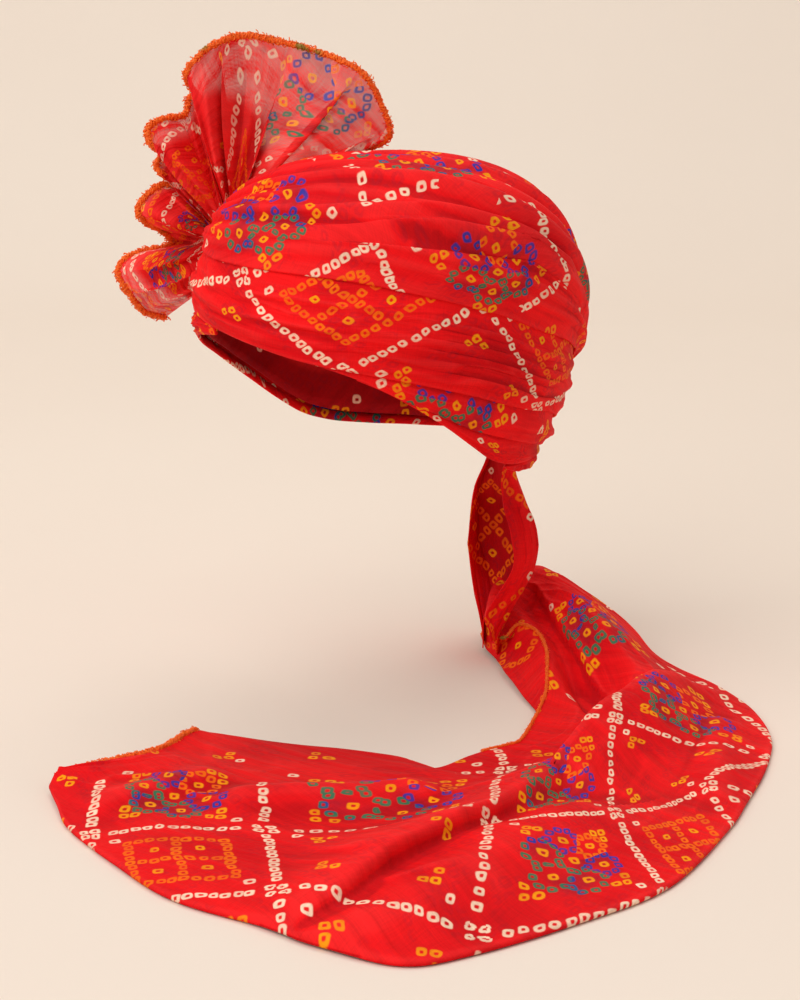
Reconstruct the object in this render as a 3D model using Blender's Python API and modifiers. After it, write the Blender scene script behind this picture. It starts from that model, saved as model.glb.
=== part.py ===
# A tied turban pagri of printed georgette, in metres, +Z up.
# The wearer faces -Y and the wearer's left is +X. The origin is the middle of the head opening, level with
# the rim over the forehead, and the free end of the cloth hangs from the nape and lies on a table below.
import math

import bmesh
import bpy
import numpy as np

MM = 0.001

# Head opening and crown
CROWN_HALF_WIDTH = 97.0 * MM
CROWN_HALF_LENGTH = 115.5 * MM
CROWN_HEIGHT = 94.0 * MM
CROWN_CENTRE_Y = -2.0 * MM
CROWN_CENTRE_Z = -4.5 * MM
PLAN_ROUNDNESS = 2.1
PROFILE_ROUNDNESS = 2.56
NAPE_DRAW_START_Z = -10.0 * MM
NAPE_DRAW_DEPTH = 61.0 * MM
FRONT_DRAW = 0.02
NAPE_DRAW = 0.125
NAPE_DRAW_FOCUS = 1.2
DRAW_CURVE = 1.6

# Cloth walls, and how far below the crown's outer surface the inner and upper wraps' outsides lie
INNER_WALL = 3.0 * MM
BAND_WALL = 1.8 * MM
SHEER_WALL = 1.2 * MM
TAIL_WALL = 1.6 * MM
INNER_WRAP_SINK_SIDE = 14.0 * MM
INNER_WRAP_SINK_TOP = 4.6 * MM
UPPER_WRAP_SINK = 0.8 * MM
INNER_WRAP_ABOVE_RIM = 2.0
INNER_WRAP_TOP_RISE = (math.radians(30.0), math.radians(75.0))

# The table that the free end lies on, and the turn of the tail's own plan axes (across, away) about Z
TABLE_Z = -220.0 * MM
PLAN_TURN = math.radians(50.0)

RED = (0.62, 0.012, 0.014)
DEEP_RED = (0.45, 0.006, 0.010)
SHEER_RED = (0.70, 0.05, 0.05)
ORANGE = (0.80, 0.12, 0.01)

# Heights in mm of the rim, of the folds where one turn lies over the next, and of the band edges,
# at turns in degrees from the forehead: positive towards the wearer's left ear
RIM_COLUMNS = ("turn", "rim")
RIM = (
    (0, 2), (10, -1), (20, -4), (31, -9), (40, -16), (50, -24), (59, -33), (70, -45), (83, -60),
    (93, -70), (104, -76), (120, -80), (140, -82), (190, -83),
)
FOLD_LINE_COLUMNS = ("turn", "main_fold", "first_tuck", "second_tuck")
FOLD_LINES = (
    (-192, -56, -74, -74), (-180, -50, -72, -72), (-160, -34, -52, -52), (-140, -15, -31, -31),
    (-120, 3, -12, -12), (-100, 20, 1, 1), (-80, 33, 7, 7), (-60, 42, 9, 9), (-40, 42, 9, 9), (-15, 41, 7, 7),
    (6, 40, 1, 1), (28, 38, -8, -8), (45, 34, -14, -19), (57, 29, -19, -30), (68, 24, -24, -39),
    (82, 17, -31, -50), (93, 11, -37, -56), (105, 3, -43, -62), (126, -9, -51, -71), (135, -15, -56, -74),
    (150, -26, -63, -77), (165, -40, -68, -79), (180, -50, -72, -80), (192, -56, -74, -80),
)

# The upper wrap: its lines run between two gathers, at (turn, height), round the line that joins them. An
# angle round that line is 0 over the crown's top and positive on the wearer's left. Its edges are the main fold.
FAN_GATHER = (math.radians(-60.0), 44.0 * MM)
BACK_GATHER = (math.radians(178.0), -53.0 * MM)
WRAP_START, WRAP_END = math.radians(9.0), math.radians(171.0)
WRAP_NARROWEST, WRAP_WIDEST = math.radians(40.0), math.radians(125.0)
WRAP_SPREAD = 79.0
# Its pleats: angle and width in degrees where the wrap spreads by WRAP_SPREAD to each side, height in mm
PLEAT_COLUMNS = ("angle", "height", "width")
UPPER_PLEATS = (
    (70, 1.3, 4), (61, 2.0, 5), (50, 1.6, 4), (40, 2.2, 5), (28, 1.5, 5), (14, 1.3, 6), (-4, 1.0, 6),
    (-20, 1.4, 6), (-38, 1.8, 5), (-52, 1.6, 5), (-67, 1.8, 5),
)
# The pleats rise and fade along the wrap, and swell by GATHER_LIFT towards the back's gather
GATHER_LIFT = 0.5
GATHER_SWELL = (math.radians(95.0), math.radians(150.0))
PLEATS_RISE = (math.radians(5.0), math.radians(35.0))
PLEATS_FADE = (math.radians(160.0), math.radians(175.0))

# The bands under it: the turns where each starts and ends, the lines of its two edges, and in mm how far it
# runs on under the turn above it and how deep its outside lies, at its end too, then its soft pleats
BAND_COLUMNS = (
    "name", "start", "end", "top", "bottom", "under", "sink", "end_sink", "pleats", "steps", "rows",
)
BANDS = (
    ("front_band", -180, 180, "main_fold", "first_tuck", 9, 4.1, 4.1, 3, 42, 6),
    ("side_band_upper", 30, 188, "first_tuck", "second_tuck", 9, 6.6, 6.6, 2, 18, 4),
    ("side_band_lower", 42, 186, "second_tuck", "rim", 9, 9.0, 9.0, 2, 17, 4),
    ("far_side_band", -6, -192, "first_tuck", "rim", 8, 6.6, 11.4, 3, 22, 4),
)
BAND_LEAST_DEPTH = 3.0 * MM
BAND_PLEATED = 0.85
BAND_BULGE = 1.0 * MM
BAND_PLEAT = 0.4 * MM
BACK_PLEAT = 2.2 * MM
# Between these bare heights a band's relief comes in, and between these turns from the forehead its pleats
# deepen, a far band's pleats end, and its end sinks under the near side's
RELIEF_HEIGHTS = (2.0 * MM, 14.0 * MM)
BACK_PLEAT_TURNS = (95.0, 150.0)
END_FLAT_TURNS = (140.0, 165.0)
END_SINK_TURNS = (140.0, 168.0)

# The fan, in its own upright plane across the tail's plan axes: each row is a point of the pleated edge,
# across, up and forward from the fan's root, in mm
FAN_ROOT_ACROSS, FAN_ROOT_AWAY, FAN_ROOT_UP = -86.0 * MM, 25.0 * MM, 54.5 * MM
FAN_COLUMNS = ("along", "across", "up", "forward", "root_across", "root_up", "cup")
FAN_EDGE = (
    (0, 74, 34, -16, 14, 12, 0), (1, 87, 43, -10, 8, 9, 4), (2, 82, 62, -4, 6, 8, 6),
    (3, 71, 80, 2, 4, 7, 4), (4, 49, 90, -4, 2, 6, -4), (5, 26, 96, -8, 0, 5, -6),
    (6, 5, 100, -4, -2, 4, -2), (7, -13, 95, 6, -4, 3, 6), (8, -25, 84, 14, -6, 2, 8),
    (9, -27, 76, 8, -7, 1, 4), (10, -22, 65, -8, -8, 0, -4), (11, -28, 65, -16, -9, -1, -4),
    (12, -31, 55, -12, -10, -2, -2), (13, -42, 54, 0, -12, -2, 4), (14, -50, 49, 8, -13, -3, 6),
    (15, -47, 39, 10, -14, -4, 4), (16, -34, 33, -8, -14, -5, -2), (17, -43, 33, -6, -15, -6, 2),
    (18, -46, 26, 4, -15, -7, 3), (19, -36, 17, -4, -16, -8, -2), (20, -46, 16, 2, -17, -9, 3),
    (21, -56, 6, 12, -17, -11, 6), (22, -54, -3, 10, -18, -13, 4), (23, -44, -12, -6, -18, -15, -2),
    (24, -42, -20, -10, -18, -17, -3), (25, -62, -24, 2, -18, -19, 4), (26, -69, -32, 12, -18, -24, 7),
    (27, -62, -46, 12, -18, -30, 6), (28, -55, -57, 4, -18, -36, 2), (29, -44, -62, -6, -18, -42, -2),
)
FAN_CLEAR = 1.8 * MM
FAN_LEAN_START = -0.2

# The part of the free end that hangs from the nape. Each row is a level: height in mm above the table,
# then plan points (across, away) in mm from its neck side round to the edge of its front fold
FALL_COLUMNS = (
    "height", "across_1", "away_1", "across_2", "away_2", "across_3", "away_3", "across_4", "away_4",
    "across_5", "away_5",
)
FALL = (
    (131.3, 50, 66, 57, 62, 65, 56, 71, 46, 70, 39),
    (120, 45, 74, 53, 77, 65, 69, 73, 51, 65, 42),
    (100, 43, 86, 54, 92, 74, 80, 80, 52, 66, 42),
    (80, 43, 90, 56, 98, 82, 84, 87, 53, 72, 40),
    (62, 44, 92, 58, 100, 82, 84, 87, 52, 73, 38),
    (46, 46, 92, 60, 98, 77, 82, 80, 49, 64, 36),
    (34, 48, 90, 62, 94, 73, 76, 73, 46, 56, 35),
    (16, 50, 86, 60, 86, 68, 68, 65.6, 43, 58, 35),
)

# The part that lies on the table. Each row is a section from its inner edge to its outer edge: across and
# away in mm, and the edge's height above the table
SPREAD_COLUMNS = ("along", "in_across", "in_away", "in_up", "out_across", "out_away", "out_up")
SPREAD = (
    (0, 67, 42, 17, 92, 112, 41),
    (1, 76, 49, 23, 105, 108, 36),
    (2, 84, 42, 24, 122, 100, 29),
    (3, 90, 30, 21, 138, 86, 21),
    (4, 92, 10, 18, 149, 66, 15),
    (5, 91, -10, 13, 158, 38, 9),
    (6, 89, -32, 7, 170, 19, 6),
    (7, 82, -61, 3, 189, -11, 5),
    (8, 72, -98, 2, 203, -47, 4),
    (9, 64, -107, 2, 208, -86, 3),
    (10, 54, -114, 2, 204, -120, 3),
    (11, 43, -124, 2, 190, -170, 3),
    (12, 24, -143, 2, 166, -234, 3),
    (13, 8, -127, 2, 131, -302, 3),
    (14, -8, -119, 2, 88, -342, 3),
    (15, -27, -112, 2, 37, -378, 3),
    (16, -46, -107, 2, 6, -389, 3),
    (17, -66, -100, 2, -30, -371, 3),
    (18, -84, -92, 2, -62, -344, 3),
    (19, -98, -86, 2, -100, -316, 3),
    (20, -108, -90, 2, -130, -275, 3),
    (21, -123, -125, 2, -157, -229, 3),
    (22, -145, -145, 2, -168, -199, 3),
    (23, -168, -161, 2, -175, -177, 2),
)
SPREAD_PUFF = 4.0 * MM
# Its folds: plan ends, height and width, in mm
FOLD_COLUMNS = ("from_across", "from_away", "to_across", "to_away", "height", "width")
FOLDS = (
    (172, -46, 106, -148, 16, 15),
    (112, 84, 130, -74, 11, 10),
    (138, 58, 160, -24, 8, 11),
    (94, -160, -4, -302, 14, 14),
    (68, -270, -28, -364, 14, 14),
    (150, -160, 96, -236, 7, 22),
    (40, -180, -60, -210, 6, 22),
    (-100, -160, -130, -214, 5, 18),
)

# The roll under the lower side band's edge at the nape, and the strip that hangs inside the hem down to the
# table: each row is the place of its lower edge, across, away and up in mm, below a place along the hem
NAPE_ROLL_STEPS = slice(9, None)
NAPE_ROLL_RADIUS = 4.6 * MM
NAPE_ROLL_GAP = 0.2 * MM
STRIP_COLUMNS = ("along", "across", "away", "up")
STRIP = (
    (0, 58, 66, 3), (1, 63, 48, 3), (2, 66, 32, 3), (3, 68, 19, 3), (4, 72, 0, 3), (5, 77, -24, 2),
    (6, 83, -50, 1.5),
)
STRIP_START, STRIP_END = 0.5, 5.4
STRIP_DROP = 2.7
STRIP_PUFF = 1.0 * MM

# The beads along the cloth's edges
EDGE_GAP = 0.8 * MM
FAN_BORDER_RADIUS = 1.3 * MM
END_BORDER_RADIUS = 1.6 * MM
HEM_RADIUS = 1.1 * MM
HEM_STEPS = slice(0, 19)
END_BORDER_STEPS = slice(36, None)


def named(columns, rows):
    """The rows of a table as dictionaries by column name."""
    return [dict(zip(columns, row)) for row in rows]


def smooth(rows, columns, name, at):
    """The named column of a table, read smoothly at places along its first column."""
    table = np.array(rows, float)
    key, value = table[:, 0], table[:, columns.index(name)]
    slope = np.gradient(value, key)
    at = np.clip(np.asarray(at, float), key[0], key[-1])
    i = np.clip(np.searchsorted(key, at, side="right") - 1, 0, len(key) - 2)
    width = key[i + 1] - key[i]
    t = (at - key[i]) / width
    rise = value[i] * (2 * t**3 - 3 * t**2 + 1) + value[i + 1] * (3 * t**2 - 2 * t**3)
    bend = slope[i] * (t**3 - 2 * t**2 + t) + slope[i + 1] * (t**3 - t**2)
    return rise + bend * width


def ease(x, low, high):
    """0 below low, 1 above high, smooth between."""
    t = np.clip((x - low) / (high - low), 0.0, 1.0)
    return t * t * (3 - 2 * t)


def crown_radius(turn, z):
    """How far the crown's outer surface lies from its upright axis."""
    sine, cosine = np.abs(np.sin(turn)), np.abs(np.cos(turn))
    ring = (
        (sine / CROWN_HALF_WIDTH) ** PLAN_ROUNDNESS + (cosine / CROWN_HALF_LENGTH) ** PLAN_ROUNDNESS
    ) ** (-1 / PLAN_ROUNDNESS)
    rise = np.clip((z - CROWN_CENTRE_Z) / CROWN_HEIGHT, 0.0, 1.0)
    profile = (1 - rise**PROFILE_ROUNDNESS) ** (1 / PROFILE_ROUNDNESS)
    back = (0.5 - 0.5 * np.cos(turn)) ** NAPE_DRAW_FOCUS
    drop = np.maximum(NAPE_DRAW_START_Z - z, 0.0) / NAPE_DRAW_DEPTH
    return ring * profile * (1 - (FRONT_DRAW + NAPE_DRAW * back) * drop**DRAW_CURVE)


def depth_in_crown(points):
    """1 on the crown's outer surface, less inside it and more outside."""
    x, y, z = points[..., 0], points[..., 1] - CROWN_CENTRE_Y, points[..., 2]
    height_share = (z - CROWN_CENTRE_Z) / CROWN_HEIGHT
    radius = np.maximum(crown_radius(np.arctan2(x, -y), z), 1e-4)
    return np.where(height_share > 0.9999, 1.0, np.hypot(x, y) / radius)


def crown_point(turn, z):
    """The crown's outer surface at a turn and a height."""
    radius = crown_radius(turn, z)
    return np.stack([radius * np.sin(turn), CROWN_CENTRE_Y - radius * np.cos(turn), z + 0 * radius], -1)


def crown_towards(start, direction):
    """Where lines from inside the crown meet its outer surface."""
    near = np.zeros(direction.shape[:-1])
    far = near + 2 * CROWN_HALF_LENGTH
    for _ in range(40):
        middle = (near + far) / 2
        outside = depth_in_crown(start + direction * middle[..., None]) >= 1
        near, far = np.where(outside, near, middle), np.where(outside, middle, far)
    return start + direction * near[..., None]


def normals(points):
    """Unit normals of a grid of points."""
    across = np.cross(np.gradient(points, axis=0), np.gradient(points, axis=1))
    return across / np.maximum(np.linalg.norm(across, axis=-1, keepdims=True), 1e-12)


def lift_from_crown(points, amount):
    """A grid on the crown moved out along its normals by an amount, inwards where that is negative."""
    outward = normals(points)
    middle = np.array([0.0, CROWN_CENTRE_Y, 0.0])
    outward *= np.sign(np.sum(outward * (points - middle), -1, keepdims=True))
    return points + outward * np.asarray(amount)[..., None]


def keep_off_crown(points, clear):
    """Points inside the crown's surface, or nearer than the clearance, moved out to that clearance."""
    middle = np.array([0.0, CROWN_CENTRE_Y, 0.0])
    away = points - middle
    distance = np.linalg.norm(away, axis=-1)
    direction = away / distance[..., None]
    surface = np.linalg.norm(crown_towards(middle, direction) - middle, axis=-1)
    return middle + direction * np.maximum(distance, surface + clear)[..., None]


def plan_point(across, away, z):
    """A point given along the tail's plan axes and a height."""
    cosine, sine = math.cos(PLAN_TURN), math.sin(PLAN_TURN)
    return np.stack([across * cosine - away * sine, across * sine + away * cosine, z + 0 * across], -1)


def add_material(name, colour, roughness, alpha=1.0):
    material = bpy.data.materials.new(name)
    material.use_nodes = True
    shader = material.node_tree.nodes["Principled BSDF"]
    shader.inputs["Base Color"].default_value = (*colour, 1.0)
    shader.inputs["Roughness"].default_value = roughness
    shader.inputs["Metallic"].default_value = 0.0
    shader.inputs["Alpha"].default_value = alpha
    return material


def add_wall(collection, name, points, wall, material, outward_from=None, looped=False, side=-1):
    """A cloth wall: a grid of points given thickness, its front side facing away from a point or upwards."""
    steps, rows = points.shape[0] - 1, points.shape[1] - 1
    bm = bmesh.new()
    bmesh.ops.create_grid(bm, x_segments=steps, y_segments=rows, size=0.5)
    for vertex in bm.verts:
        i = round((vertex.co.x + 0.5) * steps)
        j = round((vertex.co.y + 0.5) * rows)
        vertex.co = points[i, j]
    if looped:
        bmesh.ops.remove_doubles(bm, verts=bm.verts, dist=0.01 * MM)
    bm.normal_update()
    middle = np.zeros(3) if outward_from is None else np.array(outward_from)
    facing = 0.0
    for face in bm.faces:
        towards = (0, 0, 1) if outward_from is None else np.array(face.calc_center_median()) - middle
        facing += float(np.dot(face.normal, towards)) * face.calc_area()
    if facing < 0:
        bmesh.ops.reverse_faces(bm, faces=bm.faces)
    mesh = bpy.data.meshes.new(name)
    bm.to_mesh(mesh)
    bm.free()
    mesh.shade_smooth()
    mesh.materials.append(material)
    piece = bpy.data.objects.new(name, mesh)
    collection.objects.link(piece)
    solidify = piece.modifiers.new("Wall", "SOLIDIFY")
    solidify.thickness = wall
    solidify.offset = side
    return piece


def add_cord(collection, name, points, radius, material, sides=1):
    """A rolled or overlocked edge: a round bead along a line of points."""
    curve = bpy.data.curves.new(name, "CURVE")
    curve.dimensions = "3D"
    curve.bevel_depth = radius
    curve.bevel_resolution = sides
    curve.use_fill_caps = True
    spline = curve.splines.new("POLY")
    spline.points.add(len(points) - 1)
    for point, place in zip(spline.points, points):
        point.co = (*place, 1.0)
    curve.materials.append(material)
    piece = bpy.data.objects.new(name, curve)
    collection.objects.link(piece)
    return piece


def inner_wrap_points(steps=26, rows=8):
    """The wound inner layers, from just above the rim to the crown's top."""
    turn = np.linspace(-math.pi, math.pi, steps + 1)[:, None]
    rim = (rim_height(np.degrees(turn)) + INNER_WRAP_ABOVE_RIM) * MM
    lowest = np.arctan2(rim, crown_radius(turn, rim))
    rise = lowest + (math.pi / 2 - lowest) * np.linspace(0, 1, rows + 1)[None, :]
    direction = np.stack([np.cos(rise) * np.sin(turn), -np.cos(rise) * np.cos(turn), np.sin(rise)], -1)
    surface = crown_towards(np.array([0.0, CROWN_CENTRE_Y, 0.0]), direction)
    top = ease(rise, *INNER_WRAP_TOP_RISE)
    sink = INNER_WRAP_SINK_SIDE + (INNER_WRAP_SINK_TOP - INNER_WRAP_SINK_SIDE) * top
    middle = np.array([0.0, CROWN_CENTRE_Y, 0.0])
    reach = np.linalg.norm(surface - middle, axis=-1, keepdims=True)
    return surface - direction * (sink[..., None] * np.ones_like(reach))


def upper_wrap_points(steps=15, rows=28):
    """The upper wrap, along its lines from the fan's gather to the back's, from main fold to main fold."""
    start, end = (crown_point(np.array(turn), np.array(z)) for turn, z in (FAN_GATHER, BACK_GATHER))
    axis = (end - start) / np.linalg.norm(end - start)
    upward = np.array([0.0, 0.0, 1.0]) - axis * axis[2]
    upward /= np.linalg.norm(upward)
    leftward = np.cross(upward, axis)
    leftward *= np.sign(leftward[0])

    def surface(along, angle):
        direction = (
            -np.cos(along)[..., None] * axis
            + (np.sin(along) * np.cos(angle))[..., None] * upward
            + (np.sin(along) * np.sin(angle))[..., None] * leftward
        )
        return crown_towards((start + end) / 2, direction)

    along = np.linspace(WRAP_START, WRAP_END, steps + 1)[:, None]
    side = np.array([1.0, -1.0])[None, :]
    near, far = WRAP_NARROWEST + 0 * along * side, WRAP_WIDEST + 0 * along * side
    for _ in range(24):
        middle = (near + far) / 2
        x, y, z = np.moveaxis(surface(along, middle * side), -1, 0)
        turn = np.degrees(np.arctan2(x, CROWN_CENTRE_Y - y))
        turn = np.where((turn < -100) & (side > 0), turn + 360, turn)
        above = z > fold_line("main_fold", turn) * MM
        near, far = np.where(above, middle, near), np.where(above, far, middle)
    share = np.linspace(1, -1, rows + 1)[None, :]
    angle = share * np.where(share > 0, near[:, :1], near[:, 1:])
    degrees = share * WRAP_SPREAD
    pleat = sum(
        row["height"] * np.exp(-(((degrees - row["angle"]) / row["width"]) ** 2))
        for row in named(PLEAT_COLUMNS, UPPER_PLEATS)
    )
    gather = 1 + GATHER_LIFT * ease(along, *GATHER_SWELL)
    spread = ease(along, *PLEATS_RISE) * (1 - ease(along, *PLEATS_FADE))
    return lift_from_crown(surface(along, angle), pleat * MM * gather * spread - UPPER_WRAP_SINK)


def band_points(start, end, top, bottom, under, sink, end_sink, pleats, steps, rows):
    """A band round the crown between two lines, bulged and pleated where it shows under the turn above it."""
    degrees = np.linspace(start, end, steps + 1)[:, None]
    low, shown = fold_line(bottom, degrees) * MM, fold_line(top, degrees) * MM
    high = np.maximum(shown + under * MM, low + BAND_LEAST_DEPTH)
    share = np.linspace(0, 1, rows + 1)[None, :]
    surface = crown_point(np.radians(degrees), low + (high - low) * share)
    bare = np.maximum(shown - low, 0.1 * MM)
    place = np.clip((high - low) * share / (BAND_PLEATED * bare), 0, 1)
    fade = ease(bare, *RELIEF_HEIGHTS) * (1 - ease(np.abs(degrees), *END_FLAT_TURNS) * (end_sink != sink))
    depth = sink + (end_sink - sink) * ease(np.abs(degrees), *END_SINK_TURNS)
    back = ease(np.abs(degrees), *BACK_PLEAT_TURNS)
    pleat = (BAND_PLEAT + BACK_PLEAT * back) * (0.5 - 0.5 * np.cos(2 * math.pi * pleats * place))
    bulge = BAND_BULGE * np.sin(math.pi * place)
    return lift_from_crown(surface, (pleat + bulge) * fade - depth * MM)


def rim_height(turn):
    """The height in mm of the rim at turns in degrees."""
    return smooth(RIM, RIM_COLUMNS, "rim", np.abs(turn))


def fold_line(name, turn):
    """The height in mm of the rim or of a fold line at turns in degrees."""
    return rim_height(turn) if name == "rim" else smooth(FOLD_LINES, FOLD_LINE_COLUMNS, name, turn)


def fan_edge(share):
    """The fan's pleated edge at shares of its length, as plan, up and forward places from its root."""
    at = share * FAN_EDGE[-1][0]
    return {name: smooth(FAN_EDGE, FAN_COLUMNS, name, at) * MM for name in FAN_COLUMNS[1:]}


def fan_points(steps=58, rows=5):
    """The fan, from its gathered root out to where its border starts, kept off the crown."""
    edge = {name: value[:, None] for name, value in fan_edge(np.linspace(0, 1, steps + 1)).items()}
    border = 2 * FAN_BORDER_RADIUS + EDGE_GAP
    kept = 1 - border / np.hypot(edge["across"] - edge["root_across"], edge["up"] - edge["root_up"])
    out = np.linspace(0, 1, rows + 1)[None, :] * kept
    across = edge["root_across"] + (edge["across"] - edge["root_across"]) * out
    up = edge["root_up"] + (edge["up"] - edge["root_up"]) * out
    forward = edge["forward"] * ease(out, FAN_LEAN_START, 1.0) + edge["cup"] * np.sin(math.pi * out)
    points = plan_point(FAN_ROOT_ACROSS + across, FAN_ROOT_AWAY - forward, FAN_ROOT_UP + up)
    return keep_off_crown(points, FAN_CLEAR)


def fall_points(steps=16, rows=9):
    """The hanging part of the free end, round its folds and down from the nape."""
    height = np.linspace(FALL[0][0], FALL[-1][0], rows + 1)
    table = tuple(reversed(FALL))
    folds = [
        [smooth(table, FALL_COLUMNS, f"{way}_{n}", height) for n in range(1, 6)] for way in ("across", "away")
    ]
    round_fold = np.linspace(0, 4, steps + 1)
    fold_columns = ("fold", "place")
    across, away = (
        np.array([smooth(tuple(enumerate(level)), fold_columns, "place", round_fold) for level in zip(*way)]).T
        for way in folds
    )
    return plan_point(across * MM, away * MM, TABLE_Z + height[None, :] * MM)


def fold_height(across, away):
    """How high the folds of the part on the table stand at plan places in mm."""
    total = np.zeros_like(across)
    for fold in named(FOLD_COLUMNS, FOLDS):
        run_across, run_away = fold["to_across"] - fold["from_across"], fold["to_away"] - fold["from_away"]
        run = math.hypot(run_across, run_away)
        right, back = across - fold["from_across"], away - fold["from_away"]
        along = (right * run_across + back * run_away) / run
        aside = (right * run_away - back * run_across) / run
        past = np.maximum(np.maximum(-along, along - run), 0.0)
        total = np.maximum(total, fold["height"] * np.exp(-((aside**2 + past**2) / fold["width"] ** 2)))
    return total


def spread_edge(side, along):
    """The spread's inner or outer edge, "in" or "out": across, away and up in mm at places along it."""
    names = [f"{side}_{name}" for name in ("across", "away", "up")]
    return np.stack([smooth(SPREAD, SPREAD_COLUMNS, name, along) for name in names], -1)


def between(inner, outer, rows, puff):
    """A grid of across, away and up in mm from one edge to another, puffed up between them."""
    share = np.linspace(0, 1, rows + 1)[None, :, None]
    grid = inner[:, None] + (outer - inner)[:, None] * share
    share = share[..., 0]
    rise = ease(share, 0.0, 1.0) - share
    grid[..., 2] += (outer - inner)[:, None, 2] * rise + puff / MM * np.sin(math.pi * share)
    return grid, np.sin(math.pi * share)


def spread_points(steps=42, rows=17):
    """The part of the free end on the table, with its folds."""
    along = np.linspace(0, SPREAD[-1][0], steps + 1)
    grid, inside = between(spread_edge("in", along), spread_edge("out", along), rows, SPREAD_PUFF)
    grid[..., 2] += fold_height(grid[..., 0], grid[..., 1]) * np.clip(inside, 0, 1) ** 0.4
    return plan_point(grid[..., 0] * MM, grid[..., 1] * MM, TABLE_Z + grid[..., 2] * MM)


def strip_points(steps=12, rows=3):
    """The strip inside the hem, from just under the hem down to the table."""
    along = np.linspace(STRIP_START, STRIP_END, steps + 1)
    low = np.stack([smooth(STRIP, STRIP_COLUMNS, name, along) for name in STRIP_COLUMNS[1:]], -1)
    high = spread_edge("in", along) - np.array([0.0, 0.0, STRIP_DROP + TAIL_WALL / MM / 2])
    grid, _ = between(low, high, rows, STRIP_PUFF)
    return plan_point(grid[..., 0] * MM, grid[..., 1] * MM, TABLE_Z + grid[..., 2] * MM)


def edge_line(edge, inward, radius):
    """Where a bead runs along a sheet's edge: moved squarely out from it by its radius and a small gap."""
    run = np.gradient(edge, axis=0)
    run /= np.linalg.norm(run, axis=-1, keepdims=True)
    out = edge - inward
    out -= run * np.sum(out * run, -1, keepdims=True)
    out /= np.linalg.norm(out, axis=-1, keepdims=True)
    return edge + out * (radius + EDGE_GAP)


def spread_edge_line(grid, steps, radius):
    """The line of a bead along part of the inner edge of the cloth on the table."""
    line = edge_line(grid[steps, 0], grid[steps, 1], radius) - np.array([0.0, 0.0, TAIL_WALL / 2])
    line[:, 2] = np.maximum(line[:, 2], TABLE_Z + radius)
    return line


def nape_roll_points(band):
    """The roll at the nape, close under the lower edge of a band of points."""
    edge = band[NAPE_ROLL_STEPS, 0]
    inward = -edge * np.array([1.0, 1.0, 0.0])
    inward /= np.linalg.norm(inward, axis=-1, keepdims=True)
    return edge + inward * BAND_WALL / 2 - np.array([0.0, 0.0, NAPE_ROLL_RADIUS + NAPE_ROLL_GAP])


def build():
    for old in list(bpy.data.objects):
        bpy.data.objects.remove(old)
    group = bpy.data.collections.new("Tied turban pagri")
    bpy.context.scene.collection.children.link(group)
    red = add_material("Printed red georgette", RED, 0.7)
    deep = add_material("Inner red wrap", DEEP_RED, 0.8)
    sheer = add_material("Sheer red georgette", SHEER_RED, 0.7, 0.85)
    orange = add_material("Orange edge thread", ORANGE, 0.75)

    middle = (0.0, CROWN_CENTRE_Y, 0.0)
    add_wall(group, "crown_inner_wrap", inner_wrap_points(), INNER_WALL, deep, middle, looped=True)
    add_wall(group, "crown_upper_wrap", upper_wrap_points(), BAND_WALL, red, middle)
    bands = {row.pop("name"): band_points(**row) for row in named(BAND_COLUMNS, BANDS)}
    for name, points in bands.items():
        add_wall(group, name, points, BAND_WALL, red, middle, looped=name == "front_band")
    add_cord(group, "nape_tuck", nape_roll_points(bands["side_band_lower"]), NAPE_ROLL_RADIUS, red, 2)
    fan = fan_points()
    add_wall(group, "fan", fan, SHEER_WALL, sheer, (-1.0, 0.0, 0.0), side=0)
    fan_line = edge_line(fan[:, -1], fan[:, -2], FAN_BORDER_RADIUS)
    add_cord(group, "fan_border", fan_line, FAN_BORDER_RADIUS, orange)
    add_wall(group, "tail_fall", fall_points(), TAIL_WALL, red, middle, side=0)
    spread = spread_points()
    add_wall(group, "tail_spread", spread, TAIL_WALL, red)
    add_wall(group, "tail_inner_fold", strip_points(), TAIL_WALL, red, side=0)
    for name, steps, radius in (
        ("tail_edge_hem", HEM_STEPS, HEM_RADIUS),
        ("tail_end_border", END_BORDER_STEPS, END_BORDER_RADIUS),
    ):
        add_cord(group, name, spread_edge_line(spread, steps, radius), radius, orange)


build()
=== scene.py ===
"""The looks of a tied turban pagri of printed georgette: its cloth, print, pleats and thread edges.

Everything is in metres, +Z up. The wearer faces -Y, the wearer's left is +X, and the origin is the middle of the
head opening, level with the rim over the forehead. The table lies 220 mm lower.
"""

import logging
import math
from dataclasses import dataclass
from enum import Enum

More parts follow.
